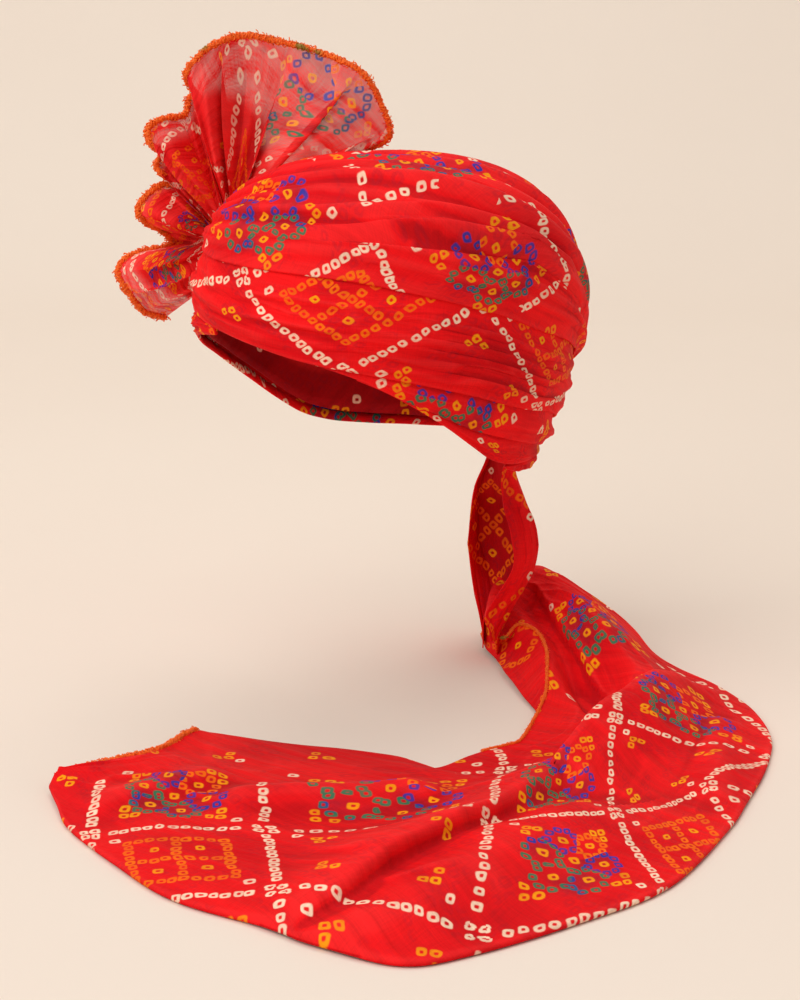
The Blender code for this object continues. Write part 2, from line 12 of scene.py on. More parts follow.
import bpy
import numpy as np
from mathutils import Matrix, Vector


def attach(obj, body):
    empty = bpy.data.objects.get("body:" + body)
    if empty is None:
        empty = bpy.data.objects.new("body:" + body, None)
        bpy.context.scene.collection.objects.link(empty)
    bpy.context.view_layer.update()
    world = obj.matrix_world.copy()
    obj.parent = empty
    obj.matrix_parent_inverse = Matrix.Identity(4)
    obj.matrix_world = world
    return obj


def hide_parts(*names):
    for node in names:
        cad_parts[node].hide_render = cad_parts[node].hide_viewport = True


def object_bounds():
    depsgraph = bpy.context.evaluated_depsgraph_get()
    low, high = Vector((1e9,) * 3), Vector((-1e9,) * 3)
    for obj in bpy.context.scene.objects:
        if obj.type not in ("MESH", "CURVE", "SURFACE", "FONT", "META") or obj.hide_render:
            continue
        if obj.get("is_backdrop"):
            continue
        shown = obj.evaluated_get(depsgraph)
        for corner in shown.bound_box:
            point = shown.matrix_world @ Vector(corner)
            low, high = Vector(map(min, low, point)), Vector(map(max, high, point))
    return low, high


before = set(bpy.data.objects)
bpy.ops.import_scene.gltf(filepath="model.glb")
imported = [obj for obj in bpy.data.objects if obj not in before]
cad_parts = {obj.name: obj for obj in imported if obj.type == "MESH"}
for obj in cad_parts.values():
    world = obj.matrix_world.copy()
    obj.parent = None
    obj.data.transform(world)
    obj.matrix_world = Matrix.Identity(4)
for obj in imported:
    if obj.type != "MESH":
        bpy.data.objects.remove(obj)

Array = np.ndarray
Colour = tuple[float, float, float]
Thing, Material = bpy.types.Object, bpy.types.Material
Tree, Node, Socket = bpy.types.NodeTree, bpy.types.Node, bpy.types.NodeSocket
LOG = logging.getLogger("pagri")
MM = 0.001
UP = np.array([0.0, 0.0, 1.0])
TABLE_Z = -0.220
PLAN_TURN = math.radians(50.0)
DOTS_PER_CELL = 14
DOT_PITCH = 6.5 * MM
CELL = DOT_PITCH * DOTS_PER_CELL
CLOTH_THICKNESS = 0.7 * MM


class Motif(Enum):
    """What fills a cell of the printed lattice."""

    PLAIN = 0.0
    BOX = 1.0
    ROSETTE = 2.0


class Lines(Enum):
    """How a cell of the lattice is outlined in white."""

    SHARED = 0.0
    NONE = 1.0
    OWN = 2.0


PLAIN, BOX, ROSETTE = Motif


@dataclass(frozen=True)
class Table:
    """A short table with named columns."""

    columns: tuple[str, ...]
    rows: tuple[tuple[float, ...], ...]

    @classmethod
    def of(cls, columns: tuple[str, ...], *rows: tuple[float, ...]) -> "Table":
        """A table of the rows given."""
        return cls(columns, rows)

    def read(self, name: str, at: Array | float) -> Array:
        """Reads a column smoothly at places along the first one.

        Args:
            name: The column to read.
            at: Places along the first column.

        Returns:
            The column's values there.
        """
        table = np.array(self.rows, float)
        key, value = table[:, 0], table[:, self.columns.index(name)]
        slope = np.gradient(value, key)
        at = np.clip(np.asarray(at, float), key[0], key[-1])
        i = np.clip(np.searchsorted(key, at, side="right") - 1, 0, len(key) - 2)
        width = key[i + 1] - key[i]
        t = (at - key[i]) / width
        rise = value[i] * (2 * t**3 - 3 * t**2 + 1) + value[i + 1] * (3 * t**2 - 2 * t**3)
        return rise + (slope[i] * (t**3 - 2 * t**2 + t) + slope[i + 1] * (t**3 - t**2)) * width

    def named(self) -> list[dict]:
        """The rows as dictionaries by column name."""
        return [dict(zip(self.columns, row)) for row in self.rows]


RIM = Table.of(
    ("turn", "rim"),
    (0, 2), (10, -1), (20, -4), (31, -9), (40, -16), (50, -24), (59, -33), (70, -45), (83, -60), (93, -70), (104, -76),
    (120, -80), (140, -82), (190, -83),
)
FOLD_LINES = Table.of(
    ("turn", "main_fold", "first_tuck", "second_tuck"),
    (-192, -56, -74, -74), (-180, -50, -72, -72), (-160, -34, -52, -52), (-140, -15, -31, -31), (-120, 3, -12, -12),
    (-100, 20, 1, 1), (-80, 33, 7, 7), (-60, 42, 9, 9), (-40, 42, 9, 9), (-15, 41, 7, 7), (6, 40, 1, 1),
    (28, 38, -8, -8), (45, 34, -14, -19), (57, 29, -19, -30), (68, 24, -24, -39), (82, 17, -31, -50),
    (93, 11, -37, -56), (105, 3, -43, -62), (126, -9, -51, -71), (135, -15, -56, -74), (150, -26, -63, -77),
    (165, -40, -68, -79), (180, -50, -72, -80), (192, -56, -74, -80),
)


def ease(x: Array, low: float, high: float) -> Array:
    """0 below low, 1 above high, smooth between."""
    t = np.clip((x - low) / (high - low), 0.0, 1.0)
    return t * t * (3 - 2 * t)


def fold_line(name: str, turn: Array) -> Array:
    """The height in metres of the rim or of a fold line at turns in degrees."""
    return (RIM.read("rim", np.abs(turn)) if name == "rim" else FOLD_LINES.read(name, turn)) * MM


def plan_point(across: Array | float, away: Array | float, z: Array | float) -> Array:
    """Turns the free end's plan axes into a point.

    Args:
        across: Distance across the photograph's view, in metres.
        away: Distance away from its camera.
        z: Height.

    Returns:
        Points in the model's frame.
    """
    cosine, sine = math.cos(PLAN_TURN), math.sin(PLAN_TURN)
    return np.stack([across * cosine - away * sine, across * sine + away * cosine, z + 0 * across], -1)


def unit(vectors: Array) -> Array:
    """The vectors at length 1."""
    return vectors / np.maximum(np.linalg.norm(vectors, axis=-1, keepdims=True), 1e-12)


def grid_normals(points: Array) -> Array:
    """Unit normals of a grid of points."""
    return unit(np.cross(np.gradient(points, axis=0), np.gradient(points, axis=1)))


@dataclass(frozen=True)
class Wander:
    """Smooth random heights over a plane, the same in each run."""

    seed: int
    size: int = 61

    def at(self, u: Array, v: Array) -> Array:
        """Heights from -1 to 1 at places one unit apart.

        Args:
            u: Places along.
            v: Places across.

        Returns:
            The heights there.
        """
        heights = np.random.default_rng(self.seed).uniform(-1, 1, (self.size, self.size))
        u, v = np.broadcast_arrays(u, v)
        i, j = np.floor(u).astype(int), np.floor(v).astype(int)
        a, b = u - i, v - j
        a, b = a * a * a * (a * (6 * a - 15) + 10), b * b * b * (b * (6 * b - 15) + 10)
        sides = []
        for step in (0, 1):
            column = (j + step) % self.size
            sides.append(heights[i % self.size, column] * (1 - a) + heights[(i + 1) % self.size, column] * a)
        return sides[0] * (1 - b) + sides[1] * b

    def creases(self, u: Array, v: Array) -> Array:
        """Narrow ridges from 0 to 1 where the heights pass through zero.

        Args:
            u: Places along.
            v: Places across.

        Returns:
            The ridges' heights there.
        """
        bend = Wander(self.seed + 7).at(u * 0.7, v * 0.7) * 0.5
        first = 1 - np.abs(self.at(u, v + bend))
        second = 1 - np.abs(Wander(self.seed + 3).at(u * 1.7, v * 1.9 + bend))
        return first**3 * 0.7 + second**3 * 0.3


@dataclass(frozen=True)
class Crown:
    """The crown's outer form."""

    half_width: float = 97.0 * MM
    half_length: float = 115.5 * MM
    height: float = 94.0 * MM
    centre_y: float = -2.0 * MM
    centre_z: float = -4.5 * MM
    plan_roundness: float = 2.1
    profile_roundness: float = 2.56
    nape_draw_start_z: float = -10.0 * MM
    nape_draw_depth: float = 61.0 * MM
    front_draw: float = 0.02
    nape_draw: float = 0.125
    nape_reach: float = 1.2
    nape_curve: float = 1.6
    search_steps: int = 34

    @property
    def middle(self) -> Array:
        """The crown's middle, level with the rim over the forehead."""
        return np.array([0.0, self.centre_y, 0.0])

    def radius(self, turn: Array, z: Array) -> Array:
        """How far the outer surface lies from the crown's upright axis.

        Args:
            turn: Turns from the forehead, in radians.
            z: Heights.

        Returns:
            The distances.
        """
        sine, cosine = np.abs(np.sin(turn)), np.abs(np.cos(turn))
        power = self.plan_roundness
        ring = ((sine / self.half_width) ** power + (cosine / self.half_length) ** power) ** (-1 / power)
        rise = np.clip((z - self.centre_z) / self.height, 0.0, 1.0)
        profile = (1 - rise**self.profile_roundness) ** (1 / self.profile_roundness)
        back = (0.5 - 0.5 * np.cos(turn)) ** self.nape_reach
        drop = np.maximum(self.nape_draw_start_z - z, 0.0) / self.nape_draw_depth
        return ring * profile * (1 - (self.front_draw + self.nape_draw * back) * drop**self.nape_curve)

    def point(self, turn: Array, z: Array) -> Array:
        """The outer surface at a turn in radians and a height."""
        radius = self.radius(turn, z)
        return np.stack([radius * np.sin(turn), self.centre_y - radius * np.cos(turn), z + 0 * radius], -1)

    def depth(self, points: Array) -> Array:
        """1 on the outer surface, less inside it and more outside."""
        x, y, z = points[..., 0], points[..., 1] - self.centre_y, points[..., 2]
        radius = np.maximum(self.radius(np.arctan2(x, -y), z), 1e-4)
        return np.where((z - self.centre_z) / self.height > 0.9999, 1.0, np.hypot(x, y) / radius)

    def towards(self, start: Array, direction: Array) -> Array:
        """Where lines from inside the crown meet its outer surface.

        Args:
            start: Where the lines start.
            direction: Their unit directions.

        Returns:
            The meeting points.
        """
        near = np.zeros(direction.shape[:-1])
        far = near + 2 * self.half_length
        for _ in range(self.search_steps):
            middle = (near + far) / 2
            outside = self.depth(start + direction * middle[..., None]) >= 1
            near, far = np.where(outside, near, middle), np.where(outside, middle, far)
        return start + direction * near[..., None]

    def lift(self, points: Array, amount: Array) -> Array:
        """A grid on the crown moved out along its normals by an amount, inwards where that is negative."""
        outward = grid_normals(points)
        outward *= np.sign(np.sum(outward * (points - self.middle), -1, keepdims=True))
        return points + outward * np.asarray(amount)[..., None]

    def keep_off(self, points: Array, clear: float) -> Array:
        """Moves points that are nearer to the crown than a clearance out to that clearance.

        Args:
            points: Any points.
            clear: The clearance.

        Returns:
            The moved points.
        """
        away = points - self.middle
        distance = np.linalg.norm(away, axis=-1)
        direction = away / distance[..., None]
        surface = np.linalg.norm(self.towards(self.middle, direction) - self.middle, axis=-1)
        return self.middle + direction * np.maximum(distance, surface + clear)[..., None]


CROWN = Crown()


def tucks(at: Array, folds: Table, fade: Array) -> tuple[Array, Array]:
    """Doubles cloth back along narrow folds.

    Args:
        at: Places across the folds.
        folds: A row for each fold: its place, how far it reaches, how far it doubles back, and its lift in mm.
        fade: How much of each fold there is.

    Returns:
        How far each place shifts across the folds, and how far it stands out there.
    """
    shift = lift = 0.0 * at * fade
    for row in folds.named():
        turn = np.clip((at - row["place"]) / row["reach"], -1, 1)
        layer = np.sin(math.pi * turn) * np.cos(math.pi / 2 * turn) ** 2 * fade
        shift = shift - layer * row["overlap"]
        lift = lift - layer * row["lift"] * MM
    return shift, lift


def fold_under(points: Array, radius: float, length: float, rows: int = 3, face: Array | None = None) -> Array:
    """Turns the first edge of a grid under into a rounded fold.

    Args:
        points: A grid whose first row is the edge.
        radius: The fold's radius.
        length: How far the cloth runs on behind it.
        rows: Rows of points round the fold.
        face: Roughly the way that the cloth faces, or away from the crown's middle.

    Returns:
        The grid with the rows behind the fold put before its edge.
    """
    outward = grid_normals(points)[:, :1]
    face = points[:, :1] - CROWN.middle if face is None else face
    outward *= np.sign(np.sum(outward * face, -1, keepdims=True))
    inward_run = unit(points[:, 1:2] - points[:, :1])
    angle = np.linspace(0, math.pi, rows + 1)[None, 1:, None]
    turned = points[:, :1] - outward * radius * (1 - np.cos(angle)) - inward_run * radius * np.sin(angle)
    behind = turned[:, -1:] + inward_run * length
    return np.concatenate([behind, turned[:, ::-1], points], 1)


def cloth_plane(points: Array, row: int) -> Array:
    """Measures a grid as flat cloth.

    Args:
        points: The grid.
        row: The row that lengths along the cloth are measured on.

    Returns:
        Along and across in metres for each point.
    """
    runs = np.linalg.norm(np.diff(points[:, row], axis=0), axis=-1)
    along = np.concatenate([[0.0], np.cumsum(runs)])
    widths = np.linalg.norm(np.diff(points, axis=1), axis=-1)
    across = np.concatenate([np.zeros((len(points), 1)), np.cumsum(widths, axis=1)], 1)
    across -= across[:, row : row + 1]
    return np.stack([along[:, None] + 0 * across, across], -1)


def lattice_stretch(points: Array, cells: Array, limits: tuple[float, float]) -> Array:
    """How far the lattice's dots are pulled apart over a grid, so that the rings can keep their size.

    Args:
        points: The grid.
        cells: The lattice place at each point, in cells.
        limits: The least and the most that is told.

    Returns:
        The xx, xy and yy parts of the pull in dots' pitches for each dot, at each point.
    """
    along, across = np.gradient(points, axis=0), np.gradient(points, axis=1)
    one, two = (np.gradient(cells * DOTS_PER_CELL, axis=axis) for axis in (0, 1))
    turn = one[..., 0] * two[..., 1] - one[..., 1] * two[..., 0]
    turn = np.where(np.abs(turn) < 1e-9, 1e-9, turn)
    inverse = np.stack([two[..., 1], -two[..., 0], -one[..., 1], one[..., 0]], -1).reshape(*turn.shape, 2, 2)
    inverse = inverse / turn[..., None, None]
    runs = np.stack([along, across], -2)
    metric = np.swapaxes(inverse, -1, -2) @ (runs @ np.swapaxes(runs, -1, -2)) @ inverse
    sizes, ways = np.linalg.eigh(metric)
    sizes = np.clip(np.sqrt(np.maximum(sizes, 0.0)) / DOT_PITCH, *limits)
    pull = (ways * sizes[..., None, :]) @ np.swapaxes(ways, -1, -2)
    return np.stack([pull[..., 0, 0], pull[..., 0, 1], pull[..., 1, 1]], -1)


def hollows(points: Array, outward: Array, reach: int = 4, depth: float = 0.9 * MM) -> Array:
    """Where a grid's surface is hollow or ridged.

    Args:
        points: The grid.
        outward: For each point, roughly the way that the face looks.
        reach: How many steps away the surface is compared with.
        depth: The depth that counts as 1.

    Returns:
        For each point 1 deep in a fold, 0 on a plain part and -1 on a ridge.
    """
    normals = grid_normals(points)
    normals = normals * np.sign(np.sum(normals * outward, -1, keepdims=True))
    around = points
    for axis in (0, 1):
        size = points.shape[axis]
        steps = [np.clip(np.arange(size) + k, 0, size - 1) for k in range(-reach, reach + 1)]
        around = np.mean([np.take(around, step, axis) for step in steps], axis=0)
    sunk = np.sum((around - points) * normals, -1) / depth
    for axis in (0, 1):
        sunk[(slice(None),) * axis + (slice(0, reach),)] = 0
        sunk[(slice(None),) * axis + (slice(-reach, None),)] = 0
    return np.clip(sunk, -1, 1)


CELL_FILLS = ("i", "j", "motif")
BARE_AREA = ("low_p", "high_p", "low_q", "high_q")


@dataclass(frozen=True)
class Print:
    """Where the printed lattice's lines cross on a piece, and what fills its cells.

    Each crossing is a place on the piece, as two of its own measures, and a place on the lattice in cells.
    """

    crossings: Table
    motifs: Table = Table.of(CELL_FILLS)
    bare: Table = Table.of(BARE_AREA)
    fallback: tuple[Motif, Motif] = (ROSETTE, BOX)
    outline: Lines = Lines.SHARED
    pull_limits: tuple[float, float] = (0.85, 1.5)
    slack: float = 2e-5

    @staticmethod
    def bend(at: Array, around: Array) -> Array:
        """How much each of some places bends the lattice at each of others."""
        square = np.sum((at[:, None] - around[None]) ** 2, -1)
        return square * np.log(np.maximum(square, 1e-12))

    def spread(self, plane: Array, places: Array) -> Array:
        """Carries the lattice over a piece.

        Args:
            plane: The piece as flat cloth, in metres.
            places: The crossings on that plane, in the table's order.

        Returns:
            Lattice places in cells for each point.
        """
        target = np.array([[row["p"], row["q"]] for row in self.crossings.named()], float)
        count = len(places)
        flat = np.concatenate([np.ones((count, 1)), places], 1)
        matrix = np.zeros((count + 3, count + 3))
        matrix[:count, :count] = self.bend(places, places) + np.eye(count) * self.slack
        matrix[:count, count:], matrix[count:, :count] = flat, flat.T
        weights = np.linalg.lstsq(matrix, np.concatenate([target, np.zeros((3, 2))]), rcond=None)[0]
        spots = plane.reshape(-1, 2)
        value = self.bend(spots, places) @ weights[:count]
        value += np.concatenate([np.ones((len(spots), 1)), spots], 1) @ weights[count:]
        return value.reshape(plane.shape)

    @staticmethod
    def in_cell(cells: Array, row: dict) -> Array:
        """Whether each lattice place lies in a row's cell."""
        return np.all(np.floor(cells) == (row["i"], row["j"]), -1)

    def fill(self, cells: Array) -> Array:
        """What fills the cell at each lattice place, as a motif's value."""
        even = np.floor(cells).sum(-1) % 2 == 0
        motif = np.where(even, self.fallback[0].value, self.fallback[1].value)
        for row in self.motifs.named():
            motif = np.where(self.in_cell(cells, row), row["motif"].value, motif)
        return motif

    def lines(self, cells: Array) -> Array:
        """How the cell at each lattice place is outlined, as a line style's value."""
        style = np.full(cells.shape[:-1], self.outline.value)
        for row in self.motifs.named():
            style = np.where(self.in_cell(cells, row), row.get("lines", self.outline).value, style)
        p, q = cells[..., 0], cells[..., 1]
        for row in self.bare.named():
            inside = (p > row["low_p"]) & (p < row["high_p"]) & (q > row["low_q"]) & (q < row["high_q"])
            style = np.where(inside, Lines.NONE.value, style)
        return style


def placed(name: str, data: bpy.types.ID) -> Thing:
    """Puts a mesh, a curve, a light or a camera into the scene as an object."""
    thing = bpy.data.objects.new(name, data)
    bpy.context.scene.collection.objects.link(thing)
    return thing


def join_points(piece: Thing, distance: float = 0.02 * MM) -> None:
    """Joins the points of a piece that meet."""
    weld = piece.modifiers.new("Join", "WELD")
    weld.merge_threshold = distance


def make_cloth(
    name: str, points: Array, cells: Array, pattern: Print | None, outward: Array, looped: bool = False,
    gathers_and_painted_shade: Array | float = 0.0,
) -> Thing:
    """Makes a piece of cloth from a grid of points.

    Args:
        name: The piece's name.
        points: The grid.
        cells: The lattice place at each point, in cells.
        pattern: What fills the cells, or nothing.
        outward: Roughly the way that the cloth's face looks, for all points or for each.
        looped: Whether the grid's ends meet.
        gathers_and_painted_shade: For each point, how far gathers hide what lies behind sheer cloth, and on opaque
            cloth how much painted shade darkens it.

    Returns:
        The piece.
    """
    index = np.arange(points.shape[0] * points.shape[1]).reshape(points.shape[:2])
    faces = np.stack([index[:-1, :-1], index[1:, :-1], index[1:, 1:], index[:-1, 1:]], -1).reshape(-1, 4)
    if np.sum(grid_normals(points) * outward) < 0:
        faces = faces[:, ::-1]
    mesh = bpy.data.meshes.new(name)
    mesh.from_pydata(points.reshape(-1, 3).tolist(), [], faces.tolist())
    corners = np.zeros(len(mesh.loops), np.int32)
    mesh.loops.foreach_get("vertex_index", corners)
    layer = mesh.uv_layers.new(name="Cloth")
    dots = cells.reshape(-1, 2)[corners] * DOTS_PER_CELL
    layer.uv.foreach_set("vector", dots.astype(np.float32).ravel())
    plain = np.zeros(cells.shape[:-1])
    for label, values in (
        ("motif", pattern.fill(cells) if pattern else plain),
        ("lines", pattern.lines(cells) if pattern else plain + Lines.NONE.value),
        ("gathers_and_painted_shade", plain + gathers_and_painted_shade),
        ("hollow", hollows(points, outward)),
    ):
        layer = mesh.attributes.new(label, "FLOAT", "POINT")
        layer.data.foreach_set("value", values.astype(np.float32).ravel())
    pull = lattice_stretch(points, cells, pattern.pull_limits if pattern else (1.0, 1.0))
    layer = mesh.attributes.new("pull", "FLOAT_VECTOR", "POINT")
    layer.data.foreach_set("vector", pull.astype(np.float32).ravel())
    mesh.shade_smooth()
    piece = placed(name, mesh)
    if looped:
        join_points(piece)
    return piece


def thicken(piece: Thing, thickness: float = CLOTH_THICKNESS, side: float = -1.0) -> None:
    """Gives a sheet its thickness, inwards from its face or to a side of it."""
    wall = piece.modifiers.new("Thickness", "SOLIDIFY")
    wall.thickness = thickness
    wall.offset = side


def connect(tree: Tree, value: object, slot: Socket) -> None:
    """Feeds a node's input.

    Args:
        tree: The node's tree.
        value: A Term or a socket to link, or a constant.
        slot: The input.
    """
    value = value.socket if isinstance(value, Term) else value
    if isinstance(value, Socket):
        tree.links.new(value, slot)
    elif slot.type == "RGBA":
        slot.default_value = (*value, 1.0)
    else:
        slot.default_value = value


class Term:
    """A value in a shader's node tree that can be reckoned with."""

    def __init__(self, tree: Tree, socket: Socket) -> None:
        """Wraps an output socket."""
        self.tree, self.socket = tree, socket

    def work(self, operation: str, *others: "Term | float") -> "Term":
        """Adds a math node.

        Args:
            operation: The node's operation.
            others: Its further inputs.

        Returns:
            Its result.
        """
        node = self.tree.nodes.new("ShaderNodeMath")
        node.operation = operation
        for slot, value in zip(node.inputs, (self, *others)):
            connect(self.tree, value, slot)
        return Term(self.tree, node.outputs[0])

    def __add__(self, other: "Term | float") -> "Term":
        """The sum."""
        return self.work("ADD", other)

    def __sub__(self, other: "Term | float") -> "Term":
        """The difference."""
        return self.work("SUBTRACT", other)

    def __mul__(self, other: "Term | float") -> "Term":
        """The product."""
        return self.work("MULTIPLY", other)

    def over(self, value: float) -> "Term":
        """1 where this is greater than the value, else 0."""
        return self.work("GREATER_THAN", value)

    def under(self, value: float) -> "Term":
        """1 where this is less than the value, else 0."""
        return self.work("LESS_THAN", value)

    def flip(self) -> "Term":
        """1 less this."""
        return self.work("MULTIPLY", -1.0).work("ADD", 1.0)

    def most(self, other: "Term | float") -> "Term":
        """The greater of two values."""
        return self.work("MAXIMUM", other)

    def least(self, other: "Term | float") -> "Term":
        """The lesser of two values."""
        return self.work("MINIMUM", other)

    def soft(self, low: float, high: float, to_low: float = 0.0, to_high: float = 1.0) -> "Term":
        """Steps smoothly from one value to another.

        Args:
            low: Where the step starts.
            high: Where it ends.
            to_low: The value before it.
            to_high: The value after it.

        Returns:
            The stepped value.
        """
        node = self.tree.nodes.new("ShaderNodeMapRange")
        node.interpolation_type = "SMOOTHSTEP"
        for slot, value in (("From Min", low), ("From Max", high), ("To Min", to_low), ("To Max", to_high)):
            node.inputs[slot].default_value = value
        self.tree.links.new(self.socket, node.inputs["Value"])
        return Term(self.tree, node.outputs["Result"])


class Shade:
    """Adds nodes to a shader's tree or to a group's."""

    def __init__(self, tree: Tree) -> None:
        """Starts on a tree."""
        self.tree = tree

    def node(self, kind: str, **settings: object) -> Node:
        """Adds a node.

        Args:
            kind: The node's type.
            settings: Its own settings.

        Returns:
            The node.
        """
        node = self.tree.nodes.new(kind)
        for name, value in settings.items():
            setattr(node, name, value)
        return node

    def feed(self, node: Node, **values: object) -> Node:
        """Sets or links a node's inputs by name, with _ for a space.

        Args:
            node: The node.
            values: A Term, a socket or a constant for each input.

        Returns:
            The node.
        """
        for name, value in values.items():
            connect(self.tree, value, node.inputs[name.replace("_", " ")])
        return node

    def made(self, kind: str, **values: object) -> Node:
        """Adds a node and sets or links its inputs."""
        return self.feed(self.node(kind), **values)

    def split(self, vector: Socket) -> tuple[Term, Term]:
        """The first two parts of a vector."""
        node = self.made("ShaderNodeSeparateXYZ", Vector=vector)
        return Term(self.tree, node.outputs["X"]), Term(self.tree, node.outputs["Y"])

    def vector(self, x: Term, y: Term, z: float = 0.0) -> Socket:
        """Joins values to a vector."""
        return self.made("ShaderNodeCombineXYZ", X=x, Y=y, Z=z).outputs["Vector"]

    def noise(self, vector: Socket, scale: float, detail: float = 2.0) -> Node:
        """Adds a noise texture on a plane."""
        node = self.node("ShaderNodeTexNoise", noise_dimensions="2D")
        return self.feed(node, Vector=vector, Scale=scale, Detail=detail)

    def cloud(self, vector: Socket, scale: float, detail: float = 2.0) -> Term:
        """The value of a noise texture on a plane."""
        return Term(self.tree, self.noise(vector, scale, detail).outputs["Fac"])

    def attribute(self, name: str, output: str = "Fac") -> Socket:
        """Reads one of the cloth's attributes."""
        return self.node("ShaderNodeAttribute", attribute_name=name).outputs[output]

    def blend(self, amount: Term | float, first: object, second: object) -> Socket:
        """Mixes two colours.

        Args:
            amount: The second colour's share.
            first: A colour or a socket.
            second: A colour or a socket.

        Returns:
            The mixed colour.
        """
        node = self.node("ShaderNodeMix", data_type="RGBA")
        for slot, value in ((0, amount), (6, first), (7, second)):
            connect(self.tree, value, node.inputs[slot])
        return node.outputs[2]


def new_group(name: str, inputs: dict[str, str], outputs: dict[str, str]) -> tuple[Shade, Node, Node]:
    """Starts a shader node group.

    Args:
        name: The group's name.
        inputs: Its inputs' names and socket types.
        outputs: Its outputs' names and socket types.

    Returns:
        The tree to build in, its input node and its output node.
    """
    tree = bpy.data.node_groups.new(name, "ShaderNodeTree")
    for label, kind in inputs.items():
        tree.interface.new_socket(label, in_out="INPUT", socket_type=kind)
    for label, kind in outputs.items():
        tree.interface.new_socket(label, in_out="OUTPUT", socket_type=kind)
    shade = Shade(tree)
    return shade, shade.node("NodeGroupInput"), shade.node("NodeGroupOutput")


def new_material(name: str, roughness: float) -> tuple[Material, Shade, Node]:
    """Starts a material.

    Args:
        name: Its name.
        roughness: Its roughness.

    Returns:
        The material, the tree to build in and the shader's node.
    """
    material = bpy.data.materials.new(name)
    material.use_nodes = True
    shade = Shade(material.node_tree)
    shader = shade.tree.nodes["Principled BSDF"]
    shader.inputs["Roughness"].default_value = roughness
    return material, shade, shader


@dataclass(frozen=True)
class Dyes:
    """The print's colours."""

    cream: Colour = (0.95, 0.70, 0.50)
    orange: Colour = (0.94, 0.16, 0.004)
    yellow: Colour = (0.95, 0.35, 0.004)
    green: Colour = (0.006, 0.19, 0.10)
    blue: Colour = (0.03, 0.04, 0.34)
    stain: Colour = (0.22, 0.012, 0.03)


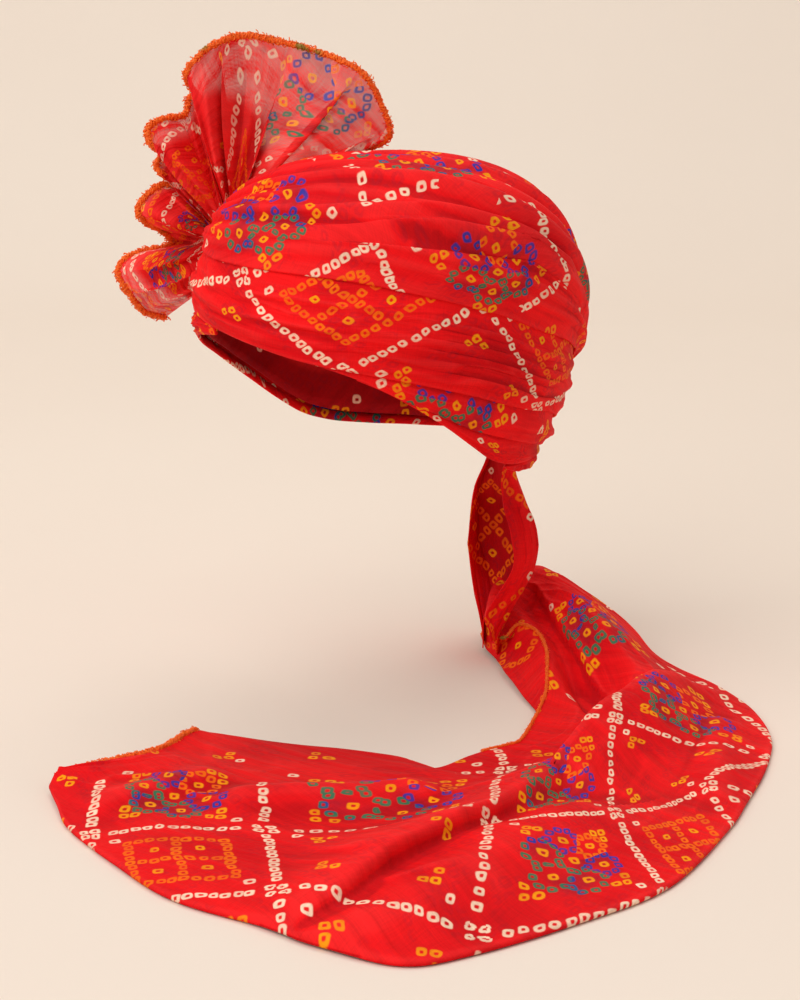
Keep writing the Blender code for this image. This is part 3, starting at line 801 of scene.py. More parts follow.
@dataclass(frozen=True)
class TiedDots:
    """The tie-dyed print: square rings along the lattice's lines, boxes of rings, and lotus rosettes."""

    dyes: Dyes = Dyes()
    ring_outside: float = 0.39
    ring_inside: float = 0.15
    ring_blur: float = 0.06
    ring_shift: float = 0.2
    wobble: float = 0.5
    faintest: float = 0.65
    squareness: float = 3.2
    petal_place: float = 2.75
    petal_radius: float = 1.5
    petal_dots: int = 9
    flower_reach: float = 4.9
    box_reach: float = 4.5
    eye_reach: float = 2.5

    def ring(self, x: Term, y: Term, pull: tuple[Term, Term, Term] | None = None) -> Term:
        """A squarish ring round the point where both places are zero.

        Args:
            x: Distance along in dots.
            y: Distance across in dots.
            pull: How far the dots are pulled apart there, or nothing.

        Returns:
            1 on the ring, 0 off it.
        """
        power = self.squareness
        if pull:
            x, y = x * pull[0] + y * pull[1], x * pull[1] + y * pull[2]
        size = x.work("ABSOLUTE").work("POWER", power) + y.work("ABSOLUTE").work("POWER", power)
        size = size.work("POWER", 1 / power)
        outside = size.soft(self.ring_outside - self.ring_blur, self.ring_outside + self.ring_blur, 1.0, 0.0)
        return outside * size.soft(self.ring_inside - self.ring_blur, self.ring_inside + self.ring_blur)

    def rosette(self, x: Term, y: Term, pull: tuple[Term, Term, Term]) -> tuple[Term, Term, Term]:
        """The rosette's rings about its middle.

        Args:
            x: Distance along from the middle, in dots.
            y: Distance across from the middle.
            pull: How far the dots are pulled apart there.

        Returns:
            Its petals' rings, its yellow middles, and the petal's number from -3 to 3.
        """
        sixth = math.pi / 3
        turn = y.work("ARCTAN2", x) - math.pi / 4
        turn = turn.work("WRAP", math.pi, -math.pi)
        reach = (x * x + y * y).work("SQRT")
        petal = (turn * (1 / sixth)).work("ROUND")
        aside = turn - petal * sixth
        u = reach * aside.work("COSINE") - self.petal_place
        v = reach * aside.work("SINE")
        step = 2 * math.pi / self.petal_dots
        way = petal * sixth + math.pi / 4
        at = (v.work("ARCTAN2", u) * (1 / step)).work("ROUND") * step + way
        heart_x = x - way.work("COSINE") * self.petal_place
        heart_y = y - way.work("SINE") * self.petal_place
        rings = self.ring(
            heart_x - at.work("COSINE") * self.petal_radius, heart_y - at.work("SINE") * self.petal_radius, pull
        )
        return rings, self.ring(heart_x, heart_y, pull).most(self.ring(x, y, pull)), petal

    def build(self) -> Tree:
        """Builds the group that turns a place on the lattice into the print's colour."""
        shade, given, out = new_group(
            "Tied dots",
            {
                "Dots": "NodeSocketVector", "Pull": "NodeSocketVector", "Motif": "NodeSocketFloat",
                "Lines": "NodeSocketFloat",
                "Ground": "NodeSocketColor", "Ghost": "NodeSocketFloat",
            },
            {"Colour": "NodeSocketColor", "Dye": "NodeSocketFloat"},
        )
        tree, dyes, cell, half = shade.tree, self.dyes, DOTS_PER_CELL, DOTS_PER_CELL / 2
        motif, lines = Term(tree, given.outputs["Motif"]), Term(tree, given.outputs["Lines"])
        shared, own = lines.under(0.5), lines.over(1.5)
        parts = shade.made("ShaderNodeSeparateXYZ", Vector=given.outputs["Pull"])
        pull = tuple(Term(tree, parts.outputs[name]) for name in ("X", "Y", "Z"))
        wobble_x, wobble_y = shade.split(shade.noise(given.outputs["Dots"], 0.55, 1.0).outputs["Color"])
        raw_x, raw_y = shade.split(given.outputs["Dots"])
        x, y = raw_x + (wobble_x - 0.5) * self.wobble, raw_y + (wobble_y - 0.5) * self.wobble
        i, j = x.work("ROUND"), y.work("ROUND")
        m, n = i.work("FLOORED_MODULO", cell), j.work("FLOORED_MODULO", cell)
        a, b = m.least(m.flip() + (cell - 1)), n.least(n.flip() + (cell - 1))
        near_x = (x + half).work("FLOORED_MODULO", cell) - half
        near_y = (y + half).work("FLOORED_MODULO", cell) - half
        cross = near_x.work("ABSOLUTE").under(1.0) * near_y.work("ABSOLUTE").under(1.0) * shared
        ring_x = (x - i) + (x.work("FLOOR") + 0.5 - i) * cross * -1.0
        ring_y = (y - j) + (y.work("FLOOR") + 0.5 - j) * cross * -1.0
        spots = shade.vector(i + cross * 3.3, j)
        random = shade.feed(shade.node("ShaderNodeTexWhiteNoise", noise_dimensions="2D"), Vector=spots)
        strength = Term(tree, random.outputs["Value"]) * (1 - self.faintest) + self.faintest
        shift_x, shift_y = (part - 0.5 for part in shade.split(random.outputs["Color"]))
        ring = self.ring(ring_x + shift_x * self.ring_shift, ring_y + shift_y * self.ring_shift, pull)

        line = a.least(b).under(0.5) * a.most(b).over(1.5) * shared
        outline = a.least(b).under(1.5) * a.least(b).over(0.5) * own
        single = a.most(b).under(2.5) * a.least(b).over(1.5) * (m - n).work("ABSOLUTE").over(5.0)
        white = line.most(outline).most(single * own.flip()).most(cross)
        to_middle = (m - half).work("ABSOLUTE").most((n - half).work("ABSOLUTE"))
        in_box = motif.over(0.5) * motif.under(1.5)
        m4, n4 = m.work("FLOORED_MODULO", 4.0), n.work("FLOORED_MODULO", 4.0)
        box = m4.over(2.5).most(n4.over(2.5)) * to_middle.under(self.box_reach) * in_box
        eye = (m4 - 1.0).work("ABSOLUTE").under(0.5) * (n4 - 1.0).work("ABSOLUTE").under(0.5)
        eye = eye * to_middle.under(self.eye_reach) * in_box
        trio = a.least(b).over(2.5) * (a + b).under(7.5)
        yellow = eye.most(trio * in_box.flip())

        centre_x, centre_y = (place.work("FLOORED_MODULO", cell) - half for place in (x, y))
        petals, hearts, petal = self.rosette(centre_x, centre_y, pull)
        reach = (centre_x * centre_x + centre_y * centre_y).work("SQRT")
        flower = motif.over(1.5) * reach.under(self.flower_reach)
        patches = shade.cloud(given.outputs["Dots"], 0.33)
        top = petal.work("ABSOLUTE").under(0.5)
        side = (petal.work("ABSOLUTE") - 1.0).work("ABSOLUTE").under(0.5)
        blueness = (side * 0.75 + patches - 0.12).soft(0.42, 0.62)

        ghost_ring = self.ring((x * 0.83 + y * 0.31).work("FRACT") - 0.5, (y * 0.83 - x * 0.31).work("FRACT") - 0.5)
        ghost = ghost_ring * patches.soft(0.5, 0.62) * Term(tree, given.outputs["Ghost"])
        colour = shade.blend(ghost * 0.6, given.outputs["Ground"], dyes.stain)
        bleed = flower * reach.soft(3.2, self.flower_reach, 1.0, 0.0) * patches.soft(0.3, 0.7) * 0.5
        colour = shade.blend(bleed * top.flip(), colour, dyes.stain)
        warm = shade.blend(top, shade.blend(blueness, dyes.green, dyes.blue), dyes.orange)
        orange_share, yellow_share = ring * box * strength, ring * yellow * strength
        white_share = ring * white * (strength * 0.6 + 0.4)
        for share, dyed in (
            (petals * flower * (patches * 0.4 + 0.72), warm), (hearts * flower * 0.9, dyes.yellow),
            (orange_share, dyes.orange), (yellow_share, dyes.yellow), (white_share, dyes.cream),
        ):
            colour = shade.blend(share, colour, dyed)
        dye = petals.most(hearts) * flower
        dye = dye.most(orange_share).most(yellow_share).most(white_share)
        shade.feed(out, Colour=colour, Dye=dye)
        return tree


@dataclass(frozen=True)
class Weave:
    """The georgette's fine crinkled weave and its thicker and thinner yarns, with painted shade and highlight along
    long streaks for soft folds.
    """

    yarn_per_dot: float = 9.0
    yarn_run: float = 0.45
    slub_and_painted_shade: float = 0.35
    # How strongly painted shade and highlight follow the long gather streaks.
    gathers: float = 0.8

    def build(self) -> Tree:
        """Builds the group that turns a place on the cloth into the weave's tone, partly painted shade and highlight,
        and its height.
        """
        shade, given, out = new_group(
            "Georgette weave",
            {"Dots": "NodeSocketVector"},
            {name: "NodeSocketFloat" for name in ("Tone", "Height", "Crepe", "Gathers")},
        )
        first, second = shade.split(given.outputs["Dots"])
        x, y = (first - second) * math.sqrt(0.5), (first + second) * math.sqrt(0.5)
        warp = shade.cloud(shade.vector(x * self.yarn_per_dot, y * self.yarn_run), 1.0)
        weft = shade.cloud(shade.vector(x * self.yarn_run, y * self.yarn_per_dot), 1.0)
        slub_and_painted_shade = shade.cloud(shade.vector(x * 0.12, y * 1.6), 1.0, 3.0)
        gathers = shade.cloud(shade.vector(x * 0.05, y * 0.7), 1.0)
        wavy = shade.cloud(given.outputs["Dots"], 0.35)
        crepe = (y * 33.0 + x * 9.0 + wavy * 9.0 + (warp - 0.5) * 5.0).work("SINE").soft(-0.2, 0.9)
        # Painted shade and highlight: the long slub and gather streaks darken and lighten the colour along the wrap,
        # matching the gathers' bump; the yarns' own variation is real.
        tone = (warp + weft - 1.0) * 0.45 + (slub_and_painted_shade - 0.5) * self.slub_and_painted_shade + (gathers - 0.5) * self.gathers + 1.0
        shade.feed(out, Tone=tone, Height=warp + weft, Gathers=gathers, Crepe=crepe)
        return shade.tree


@dataclass(frozen=True)
class PrintedCloth:
    """Printed georgette, from sheer to several layers deep, with painted shade in its folds and painted highlight on
    their ridges.
    """

    name: str
    ground: Colour
    shade_ground: Colour
    # Painted shade colour, for the hollows of folds and for darkened opaque cloth.
    painted_shade_ground: Colour = (0.36, 0.002, 0.006)
    # Painted highlight colour, for the ridges of folds.
    painted_highlight_ground: Colour = (1.0, 0.035, 0.035)
    cover: float = 1.0
    ghost: float = 0.35
    crepe: float = 0.12
    roughness: float = 0.7
    sheen: float = 0.03
    sheen_roughness: float = 0.4
    sheen_tint: Colour = (1.0, 0.3, 0.25)
    gloss: float = 0.08
    gather_depth: float = 3.0 * MM
    yarn_depth: float = 0.25 * MM

    def build(self, dots: Tree, weave: Tree) -> Material:
        """Builds the material.

        Args:
            dots: The print's group.
            weave: The weave's group.

        Returns:
            The material.
        """
        material, shade, shader = new_material(self.name, self.roughness)
        place = shade.node("ShaderNodeUVMap", uv_map="Cloth").outputs["UV"]
        woven = shade.feed(shade.node("ShaderNodeGroup", node_tree=weave), Dots=place)
        tone, crepe, height = (Term(shade.tree, woven.outputs[name]) for name in ("Tone", "Crepe", "Height"))
        hollow, gathers_and_painted_shade = (Term(shade.tree, shade.attribute(name)) for name in ("hollow", "gathers_and_painted_shade"))
        ground = shade.blend(shade.cloud(place, 0.09, 3.0).soft(0.35, 0.7), self.ground, self.shade_ground)
        ground = shade.blend(crepe * self.crepe, ground, self.shade_ground)
        # Painted shade in the hollows of the cloth's folds and painted highlight on their ridges.
        ground = shade.blend(hollow.soft(0.0, 0.8) * 0.5, ground, self.painted_shade_ground)
        ground = shade.blend((hollow * -1.0).soft(0.0, 0.9) * 0.3, ground, self.painted_highlight_ground)
        # Painted shade: opaque cloth is darkened where the attribute says so, as on the fall's inner side.
        if self.cover == 1.0:
            ground = shade.blend(gathers_and_painted_shade * 0.8, ground, self.painted_shade_ground)
        printed = shade.feed(
            shade.node("ShaderNodeGroup", node_tree=dots), Dots=place, Pull=shade.attribute("pull", "Vector"),
            Motif=shade.attribute("motif"), Lines=shade.attribute("lines"), Ground=ground, Ghost=self.ghost,
        )
        # The weave's tone, partly painted shade and highlight, sets the colour's value.
        value = (tone - 1.0) * 0.45 + 1.0
        toned = shade.made("ShaderNodeHueSaturation", Color=printed.outputs["Colour"], Value=value)
        pleats = shade.made("ShaderNodeBump", Height=woven.outputs["Gathers"], Strength=0.7, Distance=self.gather_depth)
        bump = shade.made(
            "ShaderNodeBump", Height=height * 0.35 + crepe * (self.crepe * 0.5), Strength=0.35,
            Distance=self.yarn_depth, Normal=pleats.outputs["Normal"],
        )
        shade.feed(
            shader, Base_Color=toned.outputs["Color"], Normal=bump.outputs["Normal"], Sheen_Weight=self.sheen,
            Sheen_Roughness=self.sheen_roughness, Sheen_Tint=self.sheen_tint, Specular_IOR_Level=self.gloss,
        )
        if self.cover < 1.0:
            dye = Term(shade.tree, printed.outputs["Dye"])
            cover = (crepe * 0.04 + (tone - 1.0) * 0.5 + self.cover).most(dye * 0.92).most(gathers_and_painted_shade)
            shade.feed(shader, Alpha=cover.least(1.0))
        return material


@dataclass(frozen=True)
class Thread:
    """Dyed overlock thread with a few loops of another colour."""

    name: str
    colour: Colour
    fleck: Colour
    roughness: float = 0.6
    patch_scale: float = 38.0
    fibre_scale: float = 900.0

    def build(self) -> Material:
        """Builds the material."""
        material, shade, shader = new_material(self.name, self.roughness)
        place = shade.node("ShaderNodeTexCoord").outputs["Object"]
        patch, fine = (
            shade.made("ShaderNodeTexNoise", Vector=place, Scale=scale).outputs["Fac"]
            for scale in (self.patch_scale, self.fibre_scale)
        )
        darker = (0.95 * self.colour[0], 0.6 * self.colour[1], 0.6 * self.colour[2])
        colour = shade.blend(Term(shade.tree, fine).soft(0.35, 0.7), darker, self.colour)
        colour = shade.blend(Term(shade.tree, patch).soft(0.64, 0.70) * 0.8, colour, self.fleck)
        bump = shade.made("ShaderNodeBump", Height=fine, Strength=0.4, Distance=0.1 * MM)
        shade.feed(shader, Base_Color=colour, Normal=bump.outputs["Normal"])
        return material


@dataclass(frozen=True)
class Finishes:
    """All the materials, made once."""

    crown: Material
    inner: Material
    tail: Material
    fan: Material
    thread: Material

    @classmethod
    def make(cls) -> "Finishes":
        """Makes the materials."""
        dots, weave = TiedDots().build(), Weave().build()
        red, shadow_red = (0.93, 0.008, 0.010), (0.70, 0.003, 0.007)
        return cls(
            crown=PrintedCloth("Crown georgette", red, shadow_red).build(dots, weave),
            inner=PrintedCloth("Inner georgette", (0.42, 0.006, 0.01), (0.32, 0.004, 0.008)).build(dots, weave),
            # Painted shade: the tail's red is a darker copy of the crown's, to offset the key lamp on the cloth lying
            # on the table.
            tail=PrintedCloth("Tail georgette", (0.85, 0.007, 0.009), shadow_red, ghost=0.25).build(dots, weave),
            # The sheer cloth's ground is brighter and pinker than the crown's: partly its own colour, partly painted
            # light for light shining through it.
            fan=PrintedCloth(
                "Sheer georgette", (0.96, 0.045, 0.042), (0.80, 0.012, 0.014), cover=0.88, ghost=0.0, crepe=0.22
            ).build(dots, weave),
            thread=Thread("Overlock thread", (1.0, 0.20, 0.005), (0.14, 0.2, 0.015)).build(),
        )


def settle(piece: Thing, material: Material, slot: str, *nodes: str) -> Thing:
    """Dresses a piece and sets it on the model.

    Args:
        piece: The piece.
        material: Its material.
        slot: The record's material slot; not used.
        nodes: The solids that it stands for.

    Returns:
        The piece.
    """
    piece.data.materials.clear()
    piece.data.materials.append(material)
    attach(piece, "root")
    if nodes:
        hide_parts(*nodes)
    LOG.info("%s stands for %s", piece.name, ", ".join(nodes) or "itself")
    return piece


CROWN_MARKS = ("turn", "height", "p", "q")
TUCK_COLUMNS = ("place", "reach", "overlap", "lift")
BAND_TUCKS = Table.of(TUCK_COLUMNS, (0.3, 0.09, -0.06, -1.4), (0.56, 0.09, -0.065, -1.6), (0.8, 0.07, -0.035, -1.1))


@dataclass(frozen=True)
class Band:
    """One turn of cloth round the crown between two lines."""

    name: str
    start: float
    end: float
    top: str
    bottom: str
    sink: float
    end_sink: float
    pattern: Print
    under: float = 9.0 * MM
    pleats: int = 3
    tucks: Table = BAND_TUCKS
    steps: int = 260
    rows: int = 60
    creases: float = 2.4 * MM
    crease_rows: float = 7.0
    pleat: float = 0.9 * MM
    back_pleat: float = 1.2 * MM
    seed: int = 1

    def points(self) -> Array:
        """The band's grid, its pleats running with it and gathering towards the nape."""
        degrees = np.linspace(self.start, self.end, self.steps + 1)[:, None]
        turned = np.abs(degrees)
        low, shown = fold_line(self.bottom, degrees), fold_line(self.top, degrees)
        high = np.maximum(shown + self.under, low + 3.0 * MM)
        share = np.linspace(0, 1, self.rows + 1)[None, :]
        bare = np.maximum(shown - low, 0.1 * MM)
        place = np.clip((high - low) * share / (0.9 * bare), 0, 1)
        sway = Wander(self.seed + 40).at(degrees / 30, 0.0 * share) * 0.06
        tuck_fade = ease(degrees, 45, 80) * (1 - 0.8 * ease(degrees, 112, 140)) * np.minimum(1, bare / (22 * MM))
        shift, tucked = tucks(place + sway, self.tucks, tuck_fade)
        surface = CROWN.point(np.radians(degrees), low + (high - low) * share + shift * 0.9 * bare)
        fade = ease(bare, 2.0 * MM, 14.0 * MM)
        depth = self.sink + (self.end_sink - self.sink) * ease(turned, 140, 168)
        inside = np.sin(math.pi * place) ** 0.6
        drift = Wander(self.seed + 20).at(degrees / 22, place * 1.3) * 0.13
        wave = 0.5 - 0.5 * np.cos(2 * math.pi * self.pleats * (place + drift * inside))
        pleat = (self.pleat + self.back_pleat * ease(turned, 95, 150)) * wave**1.5
        fine = Wander(self.seed).creases(degrees / 26, (place + drift) * self.crease_rows)
        wrinkle = fine * self.creases * (1 - 0.6 * ease(turned, 108, 140)) * ease(place, 0.0, 0.12)
        relief = (pleat * inside + wrinkle * inside + tucked + 0.9 * MM * np.sin(math.pi * place)) * fade
        return CROWN.lift(surface, relief - depth)


@dataclass(frozen=True)
class Gathers:
    """Lines over the crown that run together at the fan and at the nape."""

    start: Array
    end: Array

    def surface(self, along: Array, angle: Array) -> Array:
        """Where the lines lie on the crown.

        Args:
            along: Angles from the first gather to the last, in radians.
            angle: Angles across the lines from the top, to the wearer's left.

        Returns:
            The points.
        """
        axis = unit(self.end - self.start)
        upward = unit(UP - axis * axis[2])
        leftward = np.cross(upward, axis)
        leftward *= np.sign(leftward[0])
        direction = (
            -np.cos(along)[..., None] * axis
            + (np.sin(along) * np.cos(angle))[..., None] * upward
            + (np.sin(along) * np.sin(angle))[..., None] * leftward
        )
        return CROWN.towards((self.start + self.end) / 2, direction)


@dataclass(frozen=True)
class WoundCrown:
    """The crown: its inner layers, its upper wrap, its bands and the tuck at the nape."""

    finishes: Finishes
    edge_radius: float = 0.8 * MM
    edge_depth: float = 5.0 * MM
    length_row: int = 24
    half_spread: float = 79.0
    fold_search: int = 24
    inner_sink: float = 10.0 * MM
    inner_rise: float = 5.4 * MM
    inner_crease: float = 1.6 * MM
    tuck_start: int = 68
    tuck_inset: float = 4.2 * MM
    tuck_overlap: float = 3.2 * MM
    fan_gather: tuple[float, float] = (-60.0, 44.0)
    nape_gather: tuple[float, float] = (178.0, -53.0)
    upper_pleats: Table = Table.of(
        ("angle", "height", "width"),
        (74, 1.3, 3), (70.5, 1.8, 3), (64, 2.9, 4), (58, 1.3, 3), (52, 2.9, 4), (45, 1.5, 4), (37, 2.1, 5),
        (27, 1.6, 5), (14, 1.6, 6), (-4, 1.2, 6), (-20, 1.6, 6), (-38, 1.8, 5), (-52, 1.8, 5), (-67, 1.8, 5),
    )
    upper_tucks: Table = Table.of(
        TUCK_COLUMNS,
        (0.81, 0.050, 0.042, 2.4), (0.73, 0.03, 0.016, 1.2), (0.66, 0.050, 0.042, 2.4), (0.56, 0.03, 0.014, 1.1),
        (0.47, 0.04, 0.026, 1.6), (0.34, 0.04, 0.026, 1.6), (0.15, 0.04, 0.02, 1.2), (-0.2, 0.04, -0.02, -1.2),
        (-0.45, 0.04, -0.028, -1.6), (-0.7, 0.045, -0.03, -1.8),
    )
    upper_print: Print = Print(
        Table.of(
            CROWN_MARKS,
            (43, 63, 0, 0), (69, 77, 0.39, 0.07), (24, 86, 0.07, 0.32), (29, 39, -0.5, -0.07), (54, 29, -0.07, -0.46),
            (6, 63, -0.5, 0.5), (88, 36, 0.5, -0.5), (86, 88, 0.5, 0.5), (130, 64, 1, 0), (128, 18, 1, -1),
            (107, 31, 0.74, -0.74), (70, 43, 0.26, -0.26), (94, 52, 0.72, -0.28), (85, 21, 0.28, -0.72),
            (21, 68, -0.27, 0.27), (-11, 56, -0.73, 0.73), (14, 48, -0.73, 0.27), (-12, 76, -0.27, 0.73),
            (114, 81, 0.72, 0.28),
        ),
        Table.of(
            ("i", "j", "motif", "lines"),
            (-1, 0, ROSETTE, Lines.NONE), (0, -1, ROSETTE, Lines.OWN), (0, 0, ROSETTE, Lines.OWN),
            (-1, -1, BOX, Lines.OWN),
        ),
        Table.of(BARE_AREA, (0, 0.72, -0.5, 0), (0, 0.5, -1, 0), (0.45, 1, 0, 0.3), (-0.02, 0.13, 0.36, 1)),
        outline=Lines.NONE,
    )
    band_print: Print = Print(
        Table.of(
            CROWN_MARKS,
            (38, -14, 0, 0), (6, 35, 0, 1), (84, 20, 1, 0), (112, -45, 1, -1), (40, 26, 0.5, 0.5),
            (121, -14, 1.5, -0.5), (-36, 10, -1, 1), (-36, 41, -0.75, 1.25), (-110, -5, -2, 2), (-110, 12, -1.86, 2.14),
            (-176, -70, -2.9, 2.9), (-176, -49, -2.74, 3.06),
        ),
        Table.of(CELL_FILLS, (0, 0, BOX), (0, -1, PLAIN), (1, -1, BOX), (-1, 0, PLAIN)),
    )
    far_print: Print = Print(
        Table.of(
            CROWN_MARKS,
            (-40, 0, 0, 0), (-80, 0, 0.56, -0.56), (-120, -15, 1.1, -1.1), (-160, -55, 1.62, -1.62),
            (-80, -50, 0.17, -0.95), (-120, -75, 0.63, -1.57), (-50, -20, -0.01, -0.29), (-187, -76, 1.9, -1.9),
        ),
    )
    side_print: Print = Print(
        Table.of(
            CROWN_MARKS,
            (74, -33, 0.5, 0.5), (91, -42, 0.733, 0.267), (57, -24, 0.267, 0.733), (75.5, -26, 0.555, 0.555),
            (72.5, -40, 0.445, 0.445), (120, -60, 1.16, -0.16), (40, -13, 0.01, 0.99),
        ),
        Table.of(CELL_FILLS, (0, 0, ROSETTE), (1, -1, PLAIN), (-1, 1, PLAIN)),
        outline=Lines.NONE,
    )
    low_print: Print = Print(
        Table.of(
            CROWN_MARKS,
            (112, -70, 1.5, -0.5), (77, -50, 1.0, 0.0), (147, -80, 2.0, -1.0), (113, -65, 1.54, -0.46),
            (111, -75, 1.46, -0.54), (94, -60, 1.28, -0.22), (93, -66, 1.2, -0.3),
        ),
        fallback=(PLAIN, PLAIN),
        outline=Lines.NONE,
    )
    bands: tuple[Band, ...] = (
        Band(
            "front_band", -180, 180, "main_fold", "first_tuck", 2.6 * MM, 2.6 * MM, band_print,
            steps=330, rows=64, seed=3,
        ),
        Band(
            "side_band_upper", 30, 188, "first_tuck", "second_tuck", 4.4 * MM, 4.4 * MM, side_print,
            pleats=1, tucks=Table.of(TUCK_COLUMNS), steps=160, rows=40, creases=1.3 * MM, back_pleat=2.2 * MM, seed=5,
        ),
        Band(
            "side_band_lower", 42, 186, "second_tuck", "rim", 6.2 * MM, 6.2 * MM, low_print,
            pleats=1, tucks=Table.of(TUCK_COLUMNS), steps=150, rows=40, creases=1.3 * MM, back_pleat=2.4 * MM, seed=9,
        ),
        Band(
            "far_side_band", -6, -192, "first_tuck", "rim", 4.4 * MM, 8.0 * MM, far_print,
            under=8.0 * MM, steps=190, rows=44, seed=12,
        ),
    )

    def dress(self, name: str, points: Array, row: int, pattern: Print, looped: bool = False) -> Thing:
        """Makes one turn of the crown's cloth.

        Args:
            name: Its solid's name.
            points: Its grid.
            row: The row that its length is measured on.
            pattern: Its print.
            looped: Whether its ends meet.

        Returns:
            The piece.
        """
        plane = cloth_plane(points, row)
        places = []
        for mark in pattern.crossings.named():
            spot = CROWN.point(np.radians(float(mark["turn"])), mark["height"] * MM)
            places.append(plane.reshape(-1, 2)[np.argmin(np.sum((points - spot) ** 2, -1))])
        cells = pattern.spread(plane, np.array(places))
        piece = make_cloth(name + "_cloth", points, cells, pattern, points - CROWN.middle, looped)
        thicken(piece)
        settle(piece, self.finishes.crown, "crown_cloth", name)
        return piece

    def upper_points(self, steps: int = 136, rows: int = 300) -> Array:
        """The upper wrap's grid, along its lines from the fan's gather to the nape's.

        Args:
            steps: Steps along the lines.
            rows: Steps across them.

        Returns:
            The grid.
        """
        gathers = Gathers(
            *(CROWN.point(np.radians(turn), height * MM) for turn, height in (self.fan_gather, self.nape_gather))
        )
        along = np.linspace(math.radians(2), math.radians(178), steps + 1)[:, None]
        side = np.array([1.0, -1.0])[None, :]
        near, far = math.radians(40) + 0 * along * side, math.radians(125) + 0 * along * side
        for _ in range(self.fold_search):
            middle = (near + far) / 2
            x, y, z = np.moveaxis(gathers.surface(along, middle * side), -1, 0)
            turn = np.degrees(np.arctan2(x, CROWN.centre_y - y))
            turn = np.where((turn < -100) & (side > 0), turn + 360, turn)
            above = z > fold_line("main_fold", turn)
            near, far = np.where(above, middle, near), np.where(above, far, middle)
        share = np.linspace(1, -1, rows + 1)[None, :]
        degrees = np.degrees(along)
        fade = ease(degrees, 30, 80) * (1 - 0.6 * ease(degrees, 150, 175))
        slope = np.clip((90 - degrees) / 37, -0.35, 1) * 0.11
        slope = slope * ease(share, 0.6, 0.8) * (1 - ease(share, 0.86, 0.96))
        bend = Wander(31).at(degrees / 40, share * 2.6) * 1.6 / self.half_spread - slope
        shift, lift = tucks(share + bend, self.upper_tucks, fade)
        share = np.clip(share - shift, -1, 1)
        grid = gathers.surface(along, share * np.where(share > 0, near[:, :1], near[:, 1:]))
        return CROWN.lift(grid, self.upper_relief(degrees, share * self.half_spread) + lift)

    def upper_relief(self, along: Array, degrees: Array) -> Array:
        """How far the upper wrap's pleats stand out.

        Args:
            along: Place along its lines in degrees.
            degrees: Place across them in degrees.

        Returns:
            The heights.
        """
        bend = Wander(31).at(along / 40, degrees / 30) * 3.0
        pleats = np.zeros(np.broadcast(along, degrees).shape)
        for row in self.upper_pleats.named():
            aside = (degrees + bend - row["angle"]) * math.copysign(1.0, row["angle"]) / row["width"]
            pleats += row["height"] * MM * np.exp(-((aside * np.where(aside > 0, 3.0, 0.8)) ** 2))
        gather = 1.35 + 0.5 * ease(along, 95, 150)
        rise = ease(along, 5, 40) * (1 - ease(along, 165, 178))
        edge = 1 - 0.75 * ease(np.abs(degrees), 72, 79)
        ends = ease(np.abs(along - 90), 45, 80)
        fine = Wander(17).creases(along / 34, (degrees + bend) / 7.5)
        close = Wander(19).creases(along / 46, (degrees + bend) / 4.2) * ease(degrees, 20, 50)
        wrinkle = (fine * (1.7 + 1.2 * ends) + close * 1.5) * MM
        return (pleats * gather * rise + wrinkle) * edge - 1.1 * MM

    def build(self) -> list[Thing]:
        """Builds and dresses the crown's pieces."""
        pieces = [self.inner(), self.upper()]
        grids = {band.name: band.points() for band in self.bands}
        for band in self.bands:
            points = fold_under(grids[band.name], self.edge_radius, self.edge_depth)
            looped = band.end - band.start == 360
            pieces.append(self.dress(band.name, points, self.length_row, band.pattern, looped))
        return [*pieces, self.tuck(grids["side_band_lower"])]

    def inner(self, steps: int = 110, rows: int = 40) -> Thing:
        """Builds the wound inner layers, which show only from below.

        Args:
            steps: Steps round the head.
            rows: Steps from the rim to the top.

        Returns:
            The piece.
        """
        turn = np.linspace(-math.pi, math.pi, steps + 1)[:, None]
        rim = fold_line("rim", np.degrees(turn)) + 1.2 * MM
        lowest = np.arctan2(rim, CROWN.radius(turn, rim))
        share = np.linspace(0, 1, rows + 1)[None, :]
        rise = lowest + (math.pi / 2 - 1e-3 - lowest) * share
        direction = np.stack([np.cos(rise) * np.sin(turn), -np.cos(rise) * np.cos(turn), np.sin(rise)], -1)
        surface = CROWN.towards(CROWN.middle, direction)
        sink = self.inner_sink - self.inner_rise * ease(rise, math.radians(30), math.radians(75))
        wound = Wander(44).creases(np.degrees(turn) / 40 + 3, share * 16 + np.sin(turn)) * self.inner_crease
        points = surface - direction * (sink - wound * (1 - ease(share, 0.8, 1.0)))[..., None]
        cells = cloth_plane(points, rows // 2) / CELL
        piece = make_cloth("crown_inner_wrap_cloth", points, cells, None, points - CROWN.middle, True)
        thicken(piece, 1.2 * MM)
        settle(piece, self.finishes.inner, "inner_cloth", "crown_inner_wrap")
        return piece

    def upper(self) -> Thing:
        """Builds the upper wrap."""
        points = fold_under(self.upper_points(), self.edge_radius, self.edge_depth)
        points = fold_under(points[:, ::-1], self.edge_radius, self.edge_depth)
        return self.dress("crown_upper_wrap", points, points.shape[1] // 2, self.upper_print)

